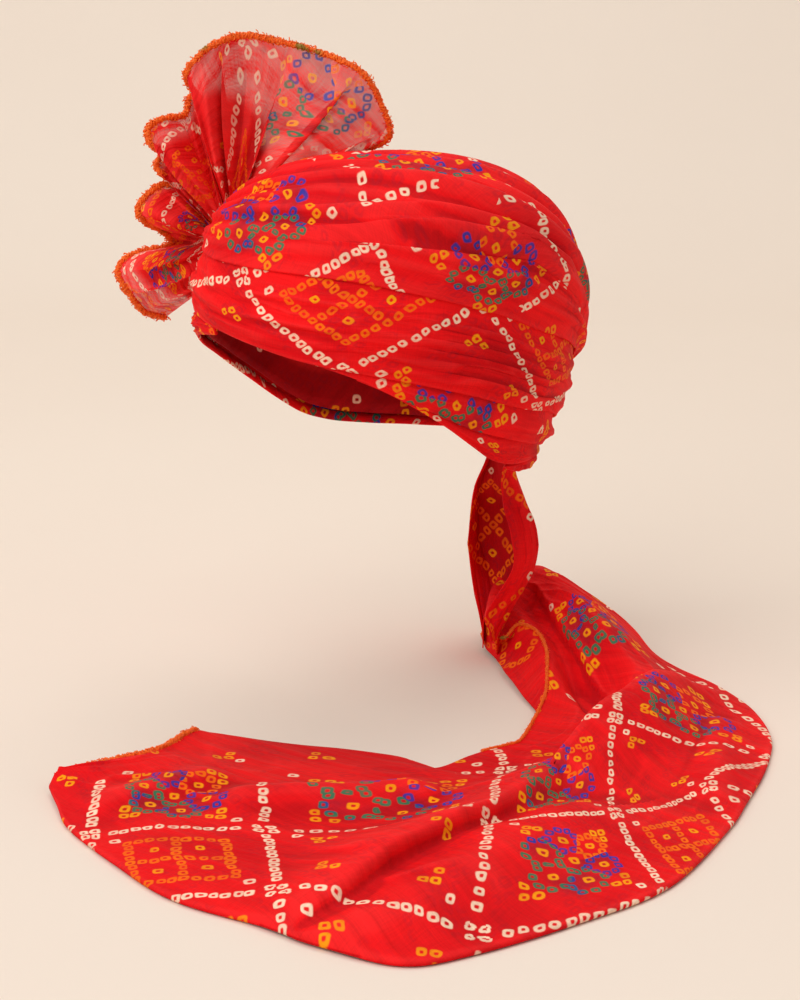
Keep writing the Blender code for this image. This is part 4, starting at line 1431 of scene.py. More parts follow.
    def tuck(self, band: Array, radius: float = 5.2 * MM, sides: int = 28) -> Thing:
        """Builds the bunched roll of cloth under the lower side band at the nape.

        Args:
            band: The lower side band's grid.
            radius: The roll's radius.
            sides: Points round it.

        Returns:
            The piece.
        """
        edge = band[self.tuck_start :, 0]
        inward = unit(-edge * (1 - UP))
        line = edge + inward * self.tuck_inset - UP * (radius - self.tuck_overlap)
        upward = unit(np.cross(unit(np.gradient(line, axis=0)), inward))[:, None]
        angle = np.linspace(0, 2 * math.pi, sides + 1)[None, :, None]
        share = np.linspace(0, 1, len(line))[:, None, None]
        fat = np.maximum(np.sin(math.pi * share) ** 0.5, 0.05)
        twist = 1 + 0.1 * np.sin(angle * 5 + share * 22) + 0.06 * np.sin(share * 41)
        ring = np.cos(angle) * -inward[:, None] + np.sin(angle) * upward
        points = line[:, None] + ring * radius * fat * twist
        cells = cloth_plane(points, 0) / CELL + 0.4
        piece = make_cloth("nape_tuck_cloth", points, cells, self.low_print, ring)
        join_points(piece, 0.05 * MM)
        return settle(piece, self.finishes.crown, "crown_cloth", "nape_tuck")


@dataclass(frozen=True)
class Overlock:
    """Thread whipped round an edge, its sizes told in shares of half the border's width."""

    material: Material
    pitch: float = 0.55
    thread: float = 0.17
    fray: float = 1.5

    def sew(self, name: str, line: Array, radius: float, seed: int) -> Thing:
        """Sews along an edge.

        Args:
            name: The piece's name.
            line: The points that the edge follows.
            radius: Half the border's width.
            seed: For what is random.

        Returns:
            The piece.
        """
        curve = bpy.data.curves.new(name + "_path", "CURVE")
        curve.dimensions = "3D"
        spline = curve.splines.new("POLY")
        spline.points.add(len(line) - 1)
        spline.points.foreach_set("co", np.insert(line, 3, 1.0, axis=1).astype(np.float32).ravel())
        source = placed(curve.name, curve)
        modifier = source.modifiers.new("Overlock", "NODES")
        modifier.node_group = Stitches.tree_made_once()
        values = {
            "Pitch": radius * self.pitch, "Reach": radius, "Thread": radius * self.thread,
            "Fray": radius * self.fray, "Seed": seed, "Material": self.material,
        }
        for item in modifier.node_group.interface.items_tree:
            if item.in_out == "INPUT" and item.name in values:
                modifier[item.identifier] = values[item.name]
        bpy.context.view_layer.update()
        graph = bpy.context.evaluated_depsgraph_get()
        mesh = bpy.data.meshes.new_from_object(source.evaluated_get(graph))
        mesh.name = name
        bpy.data.objects.remove(source)
        mesh.shade_smooth()
        return placed(name, mesh)


class Stitches(Shade):
    """The tree that sets loops of thread, a core and frayed ends along a curve."""

    NAME = "Overlock stitches"
    TILT = math.radians(34)
    LOOP_SPACING = 0.9
    FRAY_SPACING = 0.75
    CORE_REACH = 0.62

    @classmethod
    def tree_made_once(cls) -> Tree:
        """The tree, built at its first use."""
        return bpy.data.node_groups.get(cls.NAME) or cls().build()

    def __init__(self) -> None:
        """Starts the tree with its named inputs."""
        super().__init__(bpy.data.node_groups.new(self.NAME, "GeometryNodeTree"))
        kinds = {
            "Geometry": "Geometry", "Pitch": "Float", "Reach": "Float", "Thread": "Float", "Fray": "Float",
            "Seed": "Int", "Material": "Material",
        }
        for label, kind in kinds.items():
            self.tree.interface.new_socket(label, in_out="INPUT", socket_type="NodeSocket" + kind)
        self.tree.interface.new_socket("Geometry", in_out="OUTPUT", socket_type="NodeSocketGeometry")
        self.given = self.node("NodeGroupInput").outputs

    def times(self, name: str, factor: float) -> Term:
        """One of the inputs, multiplied."""
        return Term(self.tree, self.given[name]).work("MULTIPLY", factor)

    def resampled(self, spacing: object) -> Socket:
        """The edge's curve with points at a spacing."""
        path = self.node("GeometryNodeResampleCurve", mode="LENGTH")
        return self.feed(path, Curve=self.given["Geometry"], Length=spacing).outputs["Curve"]

    def circle(self, radius: object, sides: int) -> Socket:
        """A circle of a radius with a number of sides."""
        circle = self.node("GeometryNodeCurvePrimitiveCircle", mode="RADIUS")
        return self.feed(circle, Resolution=sides, Radius=radius).outputs["Curve"]

    def tube(self, curve: Socket, radius: object, sides: int) -> Socket:
        """A closed tube along a curve.

        Args:
            curve: The curve.
            radius: The tube's radius.
            sides: Its number of sides.

        Returns:
            The tube's mesh.
        """
        tube = self.node("GeometryNodeCurveToMesh")
        profile = self.circle(radius, sides)
        return self.feed(tube, Curve=curve, Profile_Curve=profile, Fill_Caps=True).outputs["Mesh"]

    def scattered(
        self, spacing: float, shape: Socket, low: tuple[float, ...], high: tuple[float, ...], offset: int
    ) -> Socket:
        """Sets copies of a shape along the edge, each turned and sized at random.

        Args:
            spacing: Their spacing in pitches.
            shape: The shape.
            low: Their least turns.
            high: Their greatest turns.
            offset: What is added to the seed.

        Returns:
            The copies.
        """
        tangent = self.node("GeometryNodeInputTangent").outputs["Tangent"]
        aim = self.feed(self.node("FunctionNodeAlignRotationToVector", axis="X"), Vector=tangent)
        seed = Term(self.tree, self.given["Seed"]).work("ADD", float(offset))
        spin = self.feed(self.node("FunctionNodeRandomValue", data_type="FLOAT_VECTOR"), Seed=seed)
        spin.inputs[0].default_value, spin.inputs[1].default_value = low, high
        turn = self.made("FunctionNodeEulerToRotation", Euler=spin.outputs[0])
        both = self.feed(
            self.node("FunctionNodeRotateRotation", rotation_space="LOCAL"), Rotation=aim.outputs["Rotation"],
            Rotate_By=turn.outputs["Rotation"],
        )
        size = self.feed(self.node("FunctionNodeRandomValue", data_type="FLOAT"), Seed=seed)
        size.inputs[2].default_value, size.inputs[3].default_value = 0.75, 1.2
        copies = self.made(
            "GeometryNodeInstanceOnPoints", Points=self.resampled(self.times("Pitch", spacing)),
            Instance=shape, Rotation=both.outputs["Rotation"], Scale=size.outputs[1],
        )
        return copies.outputs["Instances"]

    def loop(self) -> Socket:
        """One upright loop of thread."""
        ring = self.tube(self.circle(self.given["Reach"], 8), self.given["Thread"], 4)
        upright = self.made(
            "GeometryNodeTransform", Geometry=ring, Rotation=(0.0, math.pi / 2, 0.0), Scale=(0.75, 1.0, 1.0)
        )
        return upright.outputs["Geometry"]

    def frayed_end(self) -> Socket:
        """One loose end of thread."""
        tuft = self.node("GeometryNodeCurvePrimitiveBezierSegment", mode="POSITION")
        self.feed(tuft, Resolution=4, Start=(0.0, 0.0, 0.0))
        ends = (("Start_Handle", 0.0, 0.2, 0.5), ("End_Handle", 0.3, 0.1, 0.9), ("End", 0.6, -0.3, 0.8))
        for name, *shares in ends:
            self.feed(tuft, **{name: self.vector(*(self.times("Fray", share) for share in shares))})
        return self.tube(tuft.outputs["Curve"], self.given["Thread"], 3)

    def build(self) -> Tree:
        """Joins the loops, the frayed ends and the core."""
        joined = self.node("GeometryNodeJoinGeometry")
        loop, tilt, half_turn = self.loop(), self.TILT, 3.1
        for shape in (
            (self.LOOP_SPACING, loop, (-half_turn, -tilt, 0.3), (half_turn, tilt, 0.9), 1),
            (self.LOOP_SPACING, loop, (-half_turn, -tilt, -0.9), (half_turn, tilt, -0.3), 11),
            (self.FRAY_SPACING, self.frayed_end(), (-half_turn, -0.9, -0.9), (half_turn, 0.9, 0.9), 23),
        ):
            self.feed(joined, Geometry=self.scattered(*shape))
        core = self.tube(self.resampled(self.given["Reach"]), self.times("Reach", self.CORE_REACH), 8)
        self.feed(joined, Geometry=core)
        real = self.made("GeometryNodeRealizeInstances", Geometry=joined.outputs["Geometry"])
        dyed = self.made(
            "GeometryNodeSetMaterial", Geometry=real.outputs["Geometry"], Material=self.given["Material"]
        )
        self.made("NodeGroupOutput", Geometry=dyed.outputs["Geometry"])
        return self.tree


@dataclass(frozen=True)
class Turra:
    """The pleated fan and its overlocked border."""

    finishes: Finishes
    root: tuple[float, float, float] = (-86.0 * MM, 25.0 * MM, 54.5 * MM)
    border: float = 2.4 * MM
    thread_radius: float = 2.0 * MM
    layer_lift: float = 4.5 * MM
    clear: float = 0.6 * MM
    edge: Table = Table.of(
        ("along", "across", "up", "forward", "root_across", "root_up", "cup"),
        (0, 74, 34, -16, 14, 12, 0), (1, 87, 43, -10, 8, 9, 4), (2, 82, 62, -4, 6, 8, 6), (3, 71, 80, 2, 4, 7, 4),
        (4, 49, 90, -4, 2, 6, -4), (5, 26, 96, -8, 0, 5, -6), (6, 5, 100, -4, -2, 4, -2), (7, -13, 95, 6, -4, 3, 6),
        (8, -25, 84, 14, -6, 2, 8), (9, -27, 76, 8, -7, 1, 4), (10, -22, 65, -8, -8, 0, -4),
        (11, -28, 65, -16, -9, -1, -4), (12, -31, 55, -12, -10, -2, -2), (13, -42, 54, 0, -12, -2, 4),
        (14, -50, 49, 8, -13, -3, 6), (15, -47, 39, 10, -14, -4, 4), (16, -34, 33, -8, -14, -5, -2),
        (17, -43, 33, -6, -15, -6, 2), (18, -46, 26, 4, -15, -7, 3), (19, -36, 17, -4, -16, -8, -2),
        (20, -46, 16, 2, -17, -9, 3), (21, -56, 6, 12, -17, -11, 6), (22, -54, -3, 10, -18, -13, 4),
        (23, -44, -12, -6, -18, -15, -2), (24, -42, -20, -10, -18, -17, -3), (25, -62, -24, 2, -18, -19, 4),
        (26, -69, -32, 12, -18, -24, 7), (27, -62, -46, 12, -18, -30, 6), (28, -55, -57, 4, -18, -36, 2),
        (29, -44, -62, -6, -18, -42, -2),
    )
    wedges: Table = Table.of(
        ("place", "reach", "overlap", "taper", "side"),
        (1.3, 1.0, 0.95, 2, 1), (3.0, 0.9, 0.8, 3, 1), (4.7, 0.8, 0.6, 1.5, 1), (6.7, 0.9, 0.7, 3, -1),
        (9.4, 1.2, 0.9, 4, 1), (12.2, 1.0, 0.7, 3, 1), (15.0, 1.2, 0.9, 3, -1), (18.0, 1.2, 0.9, 3, 1),
        (21.5, 1.2, 0.9, 3, -1), (24.5, 1.0, 0.7, 3, 1), (27.0, 1.0, 0.7, 3, -1),
    )
    sheer: Table = Table.of(
        ("along", "from", "sheer"),
        (0, 0.25, 1), (2.5, 0.3, 1), (4.2, 0.5, 0.9), (5.5, 0.72, 0.8), (7.5, 0.9, 0.7), (9.5, 1.0, 0.2),
        (12, 0.95, 0.4), (14.5, 0.9, 0.5), (17, 1.0, 0.3), (20, 1.0, 0.3), (22, 1.0, 0.3), (25, 1.0, 0.3),
        (27.5, 0.7, 0.7), (29, 0.5, 0.8),
    )
    fan_print: Print = Print(
        Table.of(
            ("along", "out", "p", "q"),
            (5.9, 0.96, 0, 0), (3.2, 0.72, 0.5, -0.5), (6.3, 0.25, -0.75, 0), (4.9, 0.25, 0, -0.75),
            (8.5, 0.7, -0.6, 0.6), (0.5, 0.9, 1, -1), (12, 0.9, -1, 1), (16, 0.9, -1.6, 1.6), (20, 0.9, -2.2, 2.2),
            (25, 0.9, -3, 3), (29, 0.9, -3.6, 3.6), (0, 0, 0.2, -1.8), (12, 0, -1.6, 0), (29, 0, -4.2, 2.6),
        ),
        Table.of(
            CELL_FILLS,
            (0, -1, ROSETTE), (-1, -1, BOX), (-1, 0, PLAIN), (-2, 0, BOX),
        ),
    )

    def folded(self, at: Array, out: Array) -> tuple[Array, Array]:
        """Doubles the cloth back along narrow wedges.

        Args:
            at: Places along the edge.
            out: Places out from the root, from 0 to 1.

        Returns:
            The places along the edge with the wedges folded, and how far forward the layers stand there.
        """
        shift = forward = 0.0 * at * out
        for row in self.wedges.named():
            turn = np.clip((at - row["place"]) / row["reach"], -1, 1)
            layer = np.sin(math.pi * turn) * np.cos(math.pi / 2 * turn) ** 2 * (1 - out ** row["taper"])
            shift = shift - layer * row["overlap"]
            forward = forward + layer * self.layer_lift * row["side"]
        return at + shift, forward

    def points(self, steps: int = 620, rows: int = 70) -> Array:
        """The fan's grid from its drawn-together root to its edge.

        Args:
            steps: Steps along the edge.
            rows: Steps out from the root.

        Returns:
            The grid.
        """
        flat = np.linspace(0, self.edge.rows[-1][0], steps + 1)[:, None]
        out = np.linspace(0, 1, rows + 1)[None, :]
        at, layers = self.folded(flat, out)
        edge = {name: self.edge.read(name, at) * MM for name in self.edge.columns[1:]}
        across = edge["root_across"] + (edge["across"] - edge["root_across"]) * out
        up = edge["root_up"] + (edge["up"] - edge["root_up"]) * out
        ribs = 0.5 - 0.5 * np.cos(2 * math.pi * (flat * 0.95 + Wander(6).at(flat * 0.5, out * 1.2) * 0.5))
        ribs = ribs * np.sin(math.pi * np.minimum(out * 1.1, 1.0)) ** 0.7 * self.layer_lift
        fine = (Wander(5).creases(flat * 2.2, out * 0.8) - 0.4) * 2.0 * MM * out + layers + ribs
        forward = edge["forward"] * ease(out, -0.2, 1.0) + edge["cup"] * np.sin(math.pi * out) + fine
        points = plan_point(self.root[0] + across, self.root[1] - forward, self.root[2] + up)
        return CROWN.keep_off(points, self.clear)

    def build(self) -> list[Thing]:
        """Builds the fan and its border."""
        points = self.points()
        steps, rows = points.shape[0] - 1, points.shape[1] - 1
        last = self.edge.rows[-1][0]
        plane = cloth_plane(points, rows)
        places = [
            plane[round(mark["along"] / last * steps), round(mark["out"] * rows)]
            for mark in self.fan_print.crossings.named()
        ]
        cells = self.fan_print.spread(plane, np.array(places))
        out = np.linspace(0, 1, rows + 1)[None, :]
        at = np.linspace(0, last, steps + 1)[:, None]
        start = self.sheer.read("from", at)
        hidden = 1.0 - ease(out, start - 0.2, start + 0.15) * self.sheer.read("sheer", at)
        towards = plan_point(0.0, -1.0, 0.2)
        piece = make_cloth("fan_cloth", points, cells, self.fan_print, towards, gathers_and_painted_shade=hidden)
        settle(piece, self.finishes.fan, "fan_cloth", "fan")
        line = points[:, -1] - unit(points[:, -1] - points[:, -6]) * self.border * 0.5
        thread = self.finishes.thread
        edging = Overlock(thread).sew("fan_overlock", line, self.thread_radius, 4)
        settle(edging, thread, "edge_thread", "fan_border")
        return [piece, edging]


@dataclass(frozen=True)
class FreeEnd:
    """The free end: the fall at the nape, the part on the table, the strip inside its hem, and its edges."""

    finishes: Finishes
    fall_levels: tuple[tuple[float, ...], ...] = (
        (140, 61, 60, 63, 61, 66, 55, 68, 47, 67, 42),
        (131.3, 60, 66, 62, 68, 66, 58, 71, 46, 70, 39),
        (120, 58, 74, 61, 80, 67, 70, 73, 51, 66, 42),
        (100, 51, 86, 57, 92, 74, 80, 80, 52, 67, 42),
        (80, 48.5, 92, 58, 106, 80, 88, 87, 53, 72, 40),
        (62, 48, 94, 59, 108, 80, 88, 87, 52, 73, 38),
        (46, 49, 93, 61, 104, 76, 84, 80, 49, 64, 36),
        (34, 51, 90, 62, 94, 73, 76, 73, 46, 57, 35),
        (16, 55, 86, 62, 86, 68, 68, 65.6, 43, 59, 35),
        (3, 57.5, 80, 63, 79, 66, 62, 63, 42, 60, 35),
    )
    sections: Table = Table.of(
        ("along", "in_across", "in_away", "in_up", "out_across", "out_away", "out_up"),
        (-2, 56, 64, 4, 58, 110, 4), (-1, 57, 60, 25, 70, 118, 38), (0, 67, 42, 17, 92, 112, 41),
        (1, 76, 49, 23, 105, 108, 36), (2, 84, 42, 24, 122, 100, 29), (3, 90, 30, 21, 138, 86, 21),
        (4, 92, 10, 18, 149, 66, 15), (5, 91, -10, 13, 158, 38, 9), (6, 89, -32, 7, 170, 19, 6),
        (7, 82, -61, 3, 189, -11, 5), (8, 72, -98, 2, 203, -47, 4), (9, 64, -107, 2, 208, -86, 3),
        (10, 54, -114, 2, 204, -120, 3), (11, 43, -124, 2, 190, -170, 3), (12, 24, -143, 2, 166, -234, 3),
        (13, 8, -127, 2, 131, -302, 3), (14, -8, -119, 2, 88, -342, 3), (15, -27, -112, 2, 37, -378, 3),
        (16, -46, -107, 2, 6, -389, 3), (17, -66, -100, 2, -30, -371, 3), (18, -84, -92, 2, -62, -344, 3),
        (19, -98, -86, 2, -100, -316, 3), (20, -108, -90, 4, -130, -275, 3), (21, -123, -125, 6, -157, -229, 3),
        (22, -145, -145, 7, -168, -199, 4), (23, -168, -161, 6, -175, -177, 4),
    )
    folds: Table = Table.of(
        ("fold", "across", "away", "height", "near", "far", "lean"),
        (0, 90, -167, 15, 24, 6, -2), (0, 110, -134, 23, 27, 6, -5), (0, 122, -113, 25, 28, 6, -5),
        (0, 137, -91, 25, 28, 6, -5), (0, 148, -63, 22, 26, 6, -4), (0, 159, -43, 17, 22, 6, -3),
        (0, 173, -34, 9, 16, 8, 0), (1, -52, -366, 7, 6, 22, 2), (1, -21, -325, 12, 6, 28, 4),
        (1, -3, -294, 14, 6, 30, 5), (1, 15, -275, 14, 6, 30, 5), (1, 48, -237, 14, 7, 28, 4),
        (1, 69, -203, 13, 10, 24, 3), (1, 88, -168, 11, 16, 18, 0), (2, -34, -376, 10, 14, 18, 0),
        (2, 8, -352, 13, 20, 26, 0), (2, 35, -316, 14, 26, 30, 0), (2, 65, -272, 12, 30, 28, 0),
        (2, 98, -238, 9, 34, 24, 0), (3, 94, 108, 6, 20, 12, -1), (3, 116, 60, 15, 22, 15, -2),
        (3, 132, 10, 20, 24, 16, -3), (3, 145, -40, 15, 22, 14, -2), (8, 84, 76, -8, 7, 7, 0),
        (8, 97, 40, -10, 7, 7, 0), (8, 108, -21, -11, 7, 7, 0), (8, 122, -78, -6, 7, 7, 0),
        (5, -70, -200, 7, 14, 12, 2), (5, 10, -192, 9, 16, 12, 3), (6, -140, -206, 6, 12, 12, 1),
        (6, -96, -170, 6, 12, 12, 1), (7, 180, -90, 7, 14, 12, 1), (7, 170, -190, 6, 16, 14, 1),
    )
    strip: Table = Table.of(
        ("along", "across", "away", "up"),
        (-1, 55.5, 82, 8), (0, 58.5, 66, 3), (1, 63, 48, 3), (2, 66, 32, 3), (3, 68, 19, 3), (4, 72, 0, 3),
        (5, 77, -24, 2), (6, 83, -50, 1.5), (7, 81.5, -63, 1.2),
    )
    spread_print: Print = Print(
        Table.of(
            ("across", "away", "p", "q"),
            (-146, -242, 0, 0), (-60, -243, 1, 0), (50, -248, 2, 0), (112, -236, 3, 0), (162, -186, 4, 0),
            (-146, -158, 0, 1), (-66, -150, 1, 1), (62, -152, 2, 1), (120, -132, 3, 1), (205, -128, 4, 1),
            (-50, -322, 1, -1), (40, -364, 2, -1), (130, -312, 3, -1), (121, -54, 3, 2), (180, -16, 4, 2),
            (120, 36, 3.5, 2.5), (90, 74, 3, 3), (146, 76, 4, 3), (-130, -320, 0, -1),
        ),
        Table.of(
            CELL_FILLS,
            (0, 0, ROSETTE), (1, 0, ROSETTE), (2, 0, ROSETTE), (0, -1, BOX), (2, -1, ROSETTE), (3, -1, BOX),
            (3, 1, ROSETTE), (3, 2, ROSETTE),
            *(
                (i, j, PLAIN)
                for i, j in (
                    (3, 0), (1, -1), (2, 1), (3, 3), (2, 2), (2, 3), (4, 2), (4, 3), (3, 4), (4, 1), (4, 0), (2, 4),
                    (0, 1), (1, 1), (-1, 0), (-1, 1), (0, -2), (1, -2), (2, -2), (3, -2),
                )
            ),
        ),
        Table.of(BARE_AREA, (-1, 1.75, 0.75, 2.2), (1.5, 3.6, 1.8, 6), (3.6, 6, 2.25, 6)),
        pull_limits=(0.85, 1.2),
    )
    fall_print: Print = Print(spread_print.crossings, fallback=(BOX, BOX), outline=Lines.NONE)
    puff: float = 4.0
    lowest: float = 1.2
    ripple: float = 2.0 * MM
    hem_radius: float = 1.0 * MM
    hem_steps: tuple[int, int] = (28, 179)
    border_radius: float = 1.9 * MM
    border_steps: tuple[int, None] = (313, None)
    thread_lift: float = 0.2 * MM

    def edge(self, side: str, along: Array) -> Array:
        """Across, away and up in mm of the spread's "in" or "out" edge at places along it."""
        return np.stack([self.sections.read(f"{side}_{name}", along) for name in ("across", "away", "up")], -1)

    @staticmethod
    def between(inner: Array, outer: Array, rows: int, puff: float) -> tuple[Array, Array]:
        """Spans two edges with a grid puffed up between them.

        Args:
            inner: One edge, in mm.
            outer: The other.
            rows: Steps between them.
            puff: The puff's height in mm.

        Returns:
            The grid in mm, and how far inside the edges each point is, from 0 to 1.
        """
        share = np.linspace(0, 1, rows + 1)[None, :, None]
        grid = inner[:, None] + (outer - inner)[:, None] * share
        share = share[..., 0]
        grid[..., 2] += (outer - inner)[:, None, 2] * (ease(share, 0.0, 1.0) - share)
        grid[..., 2] += puff * np.sin(math.pi * share)
        return grid, np.sin(math.pi * share)

    def raise_folds(self, grid: Array, inside: Array) -> Array:
        """Raises the folds on the table: each runs along its own line, steeper on one side, and leans.

        Args:
            grid: Points in mm: across, away and up.
            inside: How far inside the cloth's edges each point is, from 0 to 1.

        Returns:
            The raised grid.
        """
        across, away = grid[..., 0], grid[..., 1]
        total, push_across, push_away = (np.zeros_like(across) for _ in range(3))
        rows = self.folds.named()
        for one, two in zip(rows[:-1], rows[1:]):
            if one["fold"] != two["fold"]:
                continue
            run = np.array([two["across"] - one["across"], two["away"] - one["away"]], float)
            run *= math.copysign(1.0, run[1])
            start = one if run[1] == two["away"] - one["away"] else two
            end = two if start is one else one
            right, back = across - start["across"], away - start["away"]
            share = np.clip((right * run[0] + back * run[1]) / (run @ run), 0, 1)
            distance = np.hypot(right - share * run[0], back - share * run[1])
            near_side = right * run[1] - back * run[0] > 0
            mixed = {name: start[name] + (end[name] - start[name]) * share for name in self.folds.columns[3:]}
            profile = np.exp(-((distance / np.where(near_side, mixed["near"], mixed["far"])) ** 2))
            height, lean = mixed["height"] * profile, mixed["lean"] * profile**1.5
            higher = np.abs(height) > np.abs(total)
            length = math.hypot(*run)
            total = np.where(higher, height, total)
            push_across = np.where(higher, lean * run[1] / length, push_across)
            push_away = np.where(higher, -lean * run[0] / length, push_away)
        return grid + np.stack([push_across * inside, push_away * inside, total * inside**0.4], -1)

    @staticmethod
    def on_table(grid: Array) -> Array:
        """Turns a grid in plan millimetres above the table into points."""
        return plan_point(grid[..., 0] * MM, grid[..., 1] * MM, TABLE_Z + grid[..., 2] * MM)

    def spread_points(self, steps: int = 359, rows: int = 130) -> Array:
        """The grid of the cloth on the table.

        Args:
            steps: Steps along it.
            rows: Steps across it.

        Returns:
            The grid.
        """
        along = np.linspace(self.sections.rows[0][0], self.sections.rows[-1][0], steps + 1)
        grid, inside = self.between(self.edge("in", along), self.edge("out", along), rows, self.puff)
        inside = np.clip(inside, 0, 1)
        grid = self.raise_folds(grid, inside)
        share = np.linspace(0, 1, rows + 1)[None, :]
        fine = Wander(61).creases(along[:, None] * 0.45, share * 7.0) - 0.3
        soft = Wander(71).at(grid[..., 0] / 38, grid[..., 1] / 38)
        grid[..., 2] += (fine * 2.2 + soft * 1.8) * inside**0.6
        grid[..., 2] = np.maximum(grid[..., 2], self.lowest)
        return self.on_table(grid)

    def fall_points(self, steps: int = 110, rows: int = 120) -> Array:
        """The grid of the hanging part.

        Args:
            steps: Steps round its folds.
            rows: Steps down from the nape.

        Returns:
            The grid.
        """
        height = np.linspace(self.fall_levels[0][0], self.fall_levels[-1][0], rows + 1)
        columns = ("height", *(f"{way}_{n}" for n in range(1, 6) for way in ("across", "away")))
        table = Table(columns, self.fall_levels[::-1])
        round_fold = np.linspace(0, 4, steps + 1)
        ways = []
        for way in ("across", "away"):
            corners = np.array([table.read(f"{way}_{n}", height) for n in range(1, 6)]).T
            levels = [Table(("fold", "place"), tuple(enumerate(level))).read("place", round_fold) for level in corners]
            ways.append(np.array(levels).T * MM)
        raised = height + 14 * ease(round_fold, 2.4, 3.4)[:, None] * (1 - ease(height, 3, 34))[None, :]
        points = plan_point(*ways, TABLE_Z + raised * MM)
        ripple = Wander(81).creases(round_fold[:, None] * 2.4, np.linspace(0, 2.2, rows + 1)[None, :]) - 0.4
        return points + grid_normals(points) * (ripple * self.ripple)[..., None]

    def spread_cells(self, points: Array) -> Array:
        """Carries the lattice over the part on the table, from where its crossings are seen in plan.

        Args:
            points: The part's grid.

        Returns:
            The lattice place at each point, in cells.
        """
        cosine, sine = math.cos(PLAN_TURN), math.sin(PLAN_TURN)
        x, y = points[..., 0], points[..., 1]
        plan = np.stack([x * cosine + y * sine, y * cosine - x * sine], -1)
        runs = np.linalg.norm(np.diff(points, axis=1), axis=-1)
        extra = runs - np.maximum(np.linalg.norm(np.diff(plan, axis=1), axis=-1), 1e-9)
        outwards = unit(plan[:, -12:-11] - plan[:, 8:9])
        shift = np.concatenate([0 * extra[:, :1], np.cumsum(extra, axis=1)], 1)
        plane = (plan + outwards * shift[..., None]).reshape(-1, 2)
        marks = np.array([[row["across"], row["away"]] for row in self.spread_print.crossings.named()]) * MM
        nearest = np.argmin(np.linalg.norm(plan.reshape(-1, 1, 2) - marks, axis=-1), axis=0)
        places = marks + plane[nearest] - plan.reshape(-1, 2)[nearest]
        return self.spread_print.spread(plane.reshape(plan.shape), places)

    @staticmethod
    def slanted_cells(points: Array) -> Array:
        """Lays the lattice slantwise over a narrow part.

        Args:
            points: The part's grid.

        Returns:
            The lattice place at each point, in cells.
        """
        plane = cloth_plane(points, points.shape[1] // 2)
        cells = np.stack([plane[..., 0] + plane[..., 1], plane[..., 0] - plane[..., 1]], -1) / math.sqrt(2)
        return cells / CELL + 0.3

    def sheet(
        self, name: str, points: Array, outward: Array, node: str, side: float = -1.0,
        painted_shade: Array | float = 0.0,
    ) -> Thing:
        """Makes and dresses one sheet of the free end.

        Args:
            name: The piece's name.
            points: Its grid.
            outward: Roughly the way its face looks.
            node: The solid that it stands for.
            side: Which side of the grid its thickness is on.
            painted_shade: For each point, how much painted shade darkens its colour.

        Returns:
            The piece.
        """
        laid = node == "tail_spread"
        pattern, cells = (self.spread_print, self.spread_cells) if laid else (self.fall_print, self.slanted_cells)
        piece = make_cloth(name, points, cells(points), pattern, outward, gathers_and_painted_shade=painted_shade)
        thicken(piece, side=side)
        # The fall keeps the crown's cloth, and the pieces on the table take the tail's darker copy, a painted shade.
        material = self.finishes.crown if node == "tail_fall" else self.finishes.tail
        settle(piece, material, "tail_cloth", node)
        return piece

    def build(self) -> list[Thing]:
        """Builds the free end's pieces."""
        fall, spread = self.fall_points(), self.spread_points()
        round_fold = np.linspace(0, 4, len(fall))[:, None]
        # Painted shade over the fall's inner folds, carried into its colour.
        inner = ease(round_fold, 0.1, 0.7) * (1 - ease(round_fold, 2.1, 2.6)) * 0.9
        rolled = fold_under(spread[:, ::-1], 1.4 * MM, 4.0 * MM, 4, UP)[:, ::-1]
        along = np.linspace(-1.0, 6.8, 121)
        low = np.stack([self.strip.read(name, along) for name in ("across", "away", "up")], -1)
        high = self.edge("in", along) + np.array([1.6, 0.0, -0.6])
        strip = self.on_table(self.between(low, high, 24, 1.0)[0])
        pieces = [
            self.sheet("tail_fall_cloth", fall, fall - CROWN.middle, "tail_fall", 0.0, inner),
            self.sheet("tail_spread_cloth", rolled, UP, "tail_spread"),
            self.sheet("tail_inner_fold_cloth", strip, UP, "tail_inner_fold", 0.0),
        ]
        thread = self.finishes.thread
        for name, steps, radius, node in (
            ("tail_edge_overlock", self.hem_steps, self.hem_radius, "tail_edge_hem"),
            ("tail_end_overlock", self.border_steps, self.border_radius, "tail_end_border"),
        ):
            line = spread[slice(*steps), 0] + UP * self.thread_lift
            line[:, 2] = np.maximum(line[:, 2], TABLE_Z + radius)
            edging = Overlock(thread).sew(name, line, radius, len(name))
            pieces.append(settle(edging, thread, "edge_thread", node))
        return pieces


@dataclass(frozen=True)
class Lamp:
    """A soft square light that looks at the crown, its plan place in metres across, away and above the table."""

    name: str
    place: tuple[float, float, float]
    size: float
    power: float
    colour: Colour

    def hang(self, target: Array) -> None:
        """Hangs it so that it looks at a target."""
        lamp = bpy.data.lights.new(self.name, "AREA")
        lamp.size, lamp.energy, lamp.color = self.size, self.power, self.colour
        across, away, up = self.place
        place = plan_point(across, away, TABLE_Z + up)
        back = -unit(target - place)
        aim(placed(self.name, lamp), place, unit(np.cross(UP, back)), back)


def aim(holder: Thing, place: Array, right: Array, back: Array) -> None:
    """Sets an object at a place, its own X and Z axes pointing right and back."""
    holder.location = place
    holder.rotation_euler = Matrix(np.stack([right, np.cross(back, right), back], 1).tolist()).to_euler()


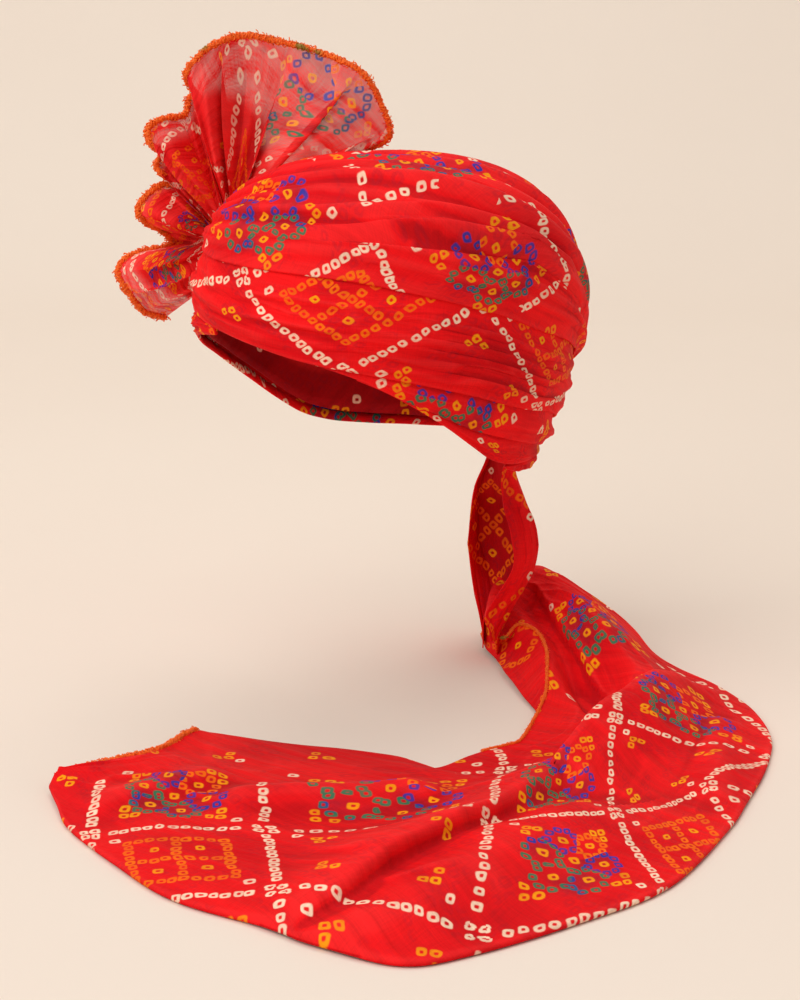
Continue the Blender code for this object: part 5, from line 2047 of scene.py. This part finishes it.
@dataclass(frozen=True)
class Studio:
    """The pale sweep, the soft lights and the camera."""

    camera_distance: float = 1.39
    camera_aside: float = 5.9 * MM
    camera_above_table: float = 0.454
    camera_pitch: float = math.radians(13.8)
    focal_px: float = 2496.0
    frame_px: float = 1000.0
    sensor_mm: float = 36.0
    sweep_radius: float = 0.9
    sweep_far: float = 2.2
    sweep_side: float = 7.0
    sweep_top: float = 4.0
    target: tuple[float, float, float] = (0.05, -0.05, -0.10)
    room_colour: Colour = (1.0, 0.96, 0.93)
    room_strength: float = 0.40
    lamps: tuple[Lamp, ...] = (
        Lamp("Key", (-1.8, -1.9, 2.8), 3.4, 92.0, (1.0, 0.97, 0.95)),
        Lamp("Fill", (2.4, -2.0, 1.8), 2.6, 5.0, (1.0, 0.96, 0.94)),
        Lamp("Top", (0.2, 0.9, 3.2), 2.4, 28.0, (1.0, 0.97, 0.96)),
    )

    @staticmethod
    def material() -> Material:
        """A matt pale paper with a faint grain."""
        material, shade, shader = new_material("Pale paper", 0.9)
        place = shade.node("ShaderNodeTexCoord").outputs["Object"]
        grain = shade.made("ShaderNodeTexNoise", Vector=place, Scale=2.0, Detail=3.0)
        amount = Term(shade.tree, grain.outputs["Fac"])
        shade.feed(shader, Base_Color=shade.blend(amount, (0.84, 0.74, 0.64), (0.87, 0.78, 0.68)))
        return material

    def sweep(self) -> None:
        """Builds the floor and backdrop as one curved sheet behind the object."""
        radius, bend_start = self.sweep_radius, self.sweep_far - self.sweep_radius
        bend = np.linspace(0.1, math.pi / 2, 16)
        floor = [-self.sweep_side, 0.6, bend_start]
        away = np.concatenate([floor, bend_start + radius * np.sin(bend), [self.sweep_far]])
        up = np.concatenate([np.zeros(3), radius - radius * np.cos(bend), [self.sweep_top]])
        across = np.array([[-self.sweep_side], [self.sweep_side]]) + 0 * away
        points = plan_point(across, away + 0 * across, TABLE_Z - 0.3 * MM + up)
        piece = make_cloth("sweep", points, points[..., :2], None, UP)
        piece.data.materials.append(self.material())
        piece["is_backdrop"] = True

    def build(self) -> None:
        """Builds the studio."""
        self.sweep()
        for lamp in self.lamps:
            lamp.hang(np.array(self.target))
        world = bpy.data.worlds.new("Room")
        bpy.context.scene.world = world
        world.use_nodes = True
        background = world.node_tree.nodes["Background"]
        background.inputs["Color"].default_value = (*self.room_colour, 1.0)
        background.inputs["Strength"].default_value = self.room_strength
        bpy.context.scene.view_settings.view_transform = "Standard"
        camera = bpy.data.cameras.new("Camera")
        camera.sensor_width = self.sensor_mm
        camera.lens = self.focal_px / self.frame_px * self.sensor_mm
        camera.clip_start = 0.05
        holder = placed("Camera", camera)
        place = plan_point(self.camera_aside, -self.camera_distance, TABLE_Z + self.camera_above_table)
        look = plan_point(0.0, 1.0, 0.0) * math.cos(self.camera_pitch) - UP * math.sin(self.camera_pitch)
        aim(holder, place, plan_point(1.0, 0.0, 0.0), -look)
        bpy.context.scene.camera = holder


def corners() -> list[list[float]]:
    """The whole object's box as plain lists."""
    return [[float(x) for x in corner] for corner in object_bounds()]


def main() -> None:
    """Builds every piece in order."""
    logging.basicConfig(level=logging.INFO, format="%(message)s")
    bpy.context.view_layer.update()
    Studio().build()
    finishes = Finishes.make()
    for part in (WoundCrown(finishes), Turra(finishes), FreeEnd(finishes)):
        for piece in part.build():
            LOG.info("%s: %d faces", piece.name, len(piece.data.polygons))


if __name__ == "__main__":
    main()
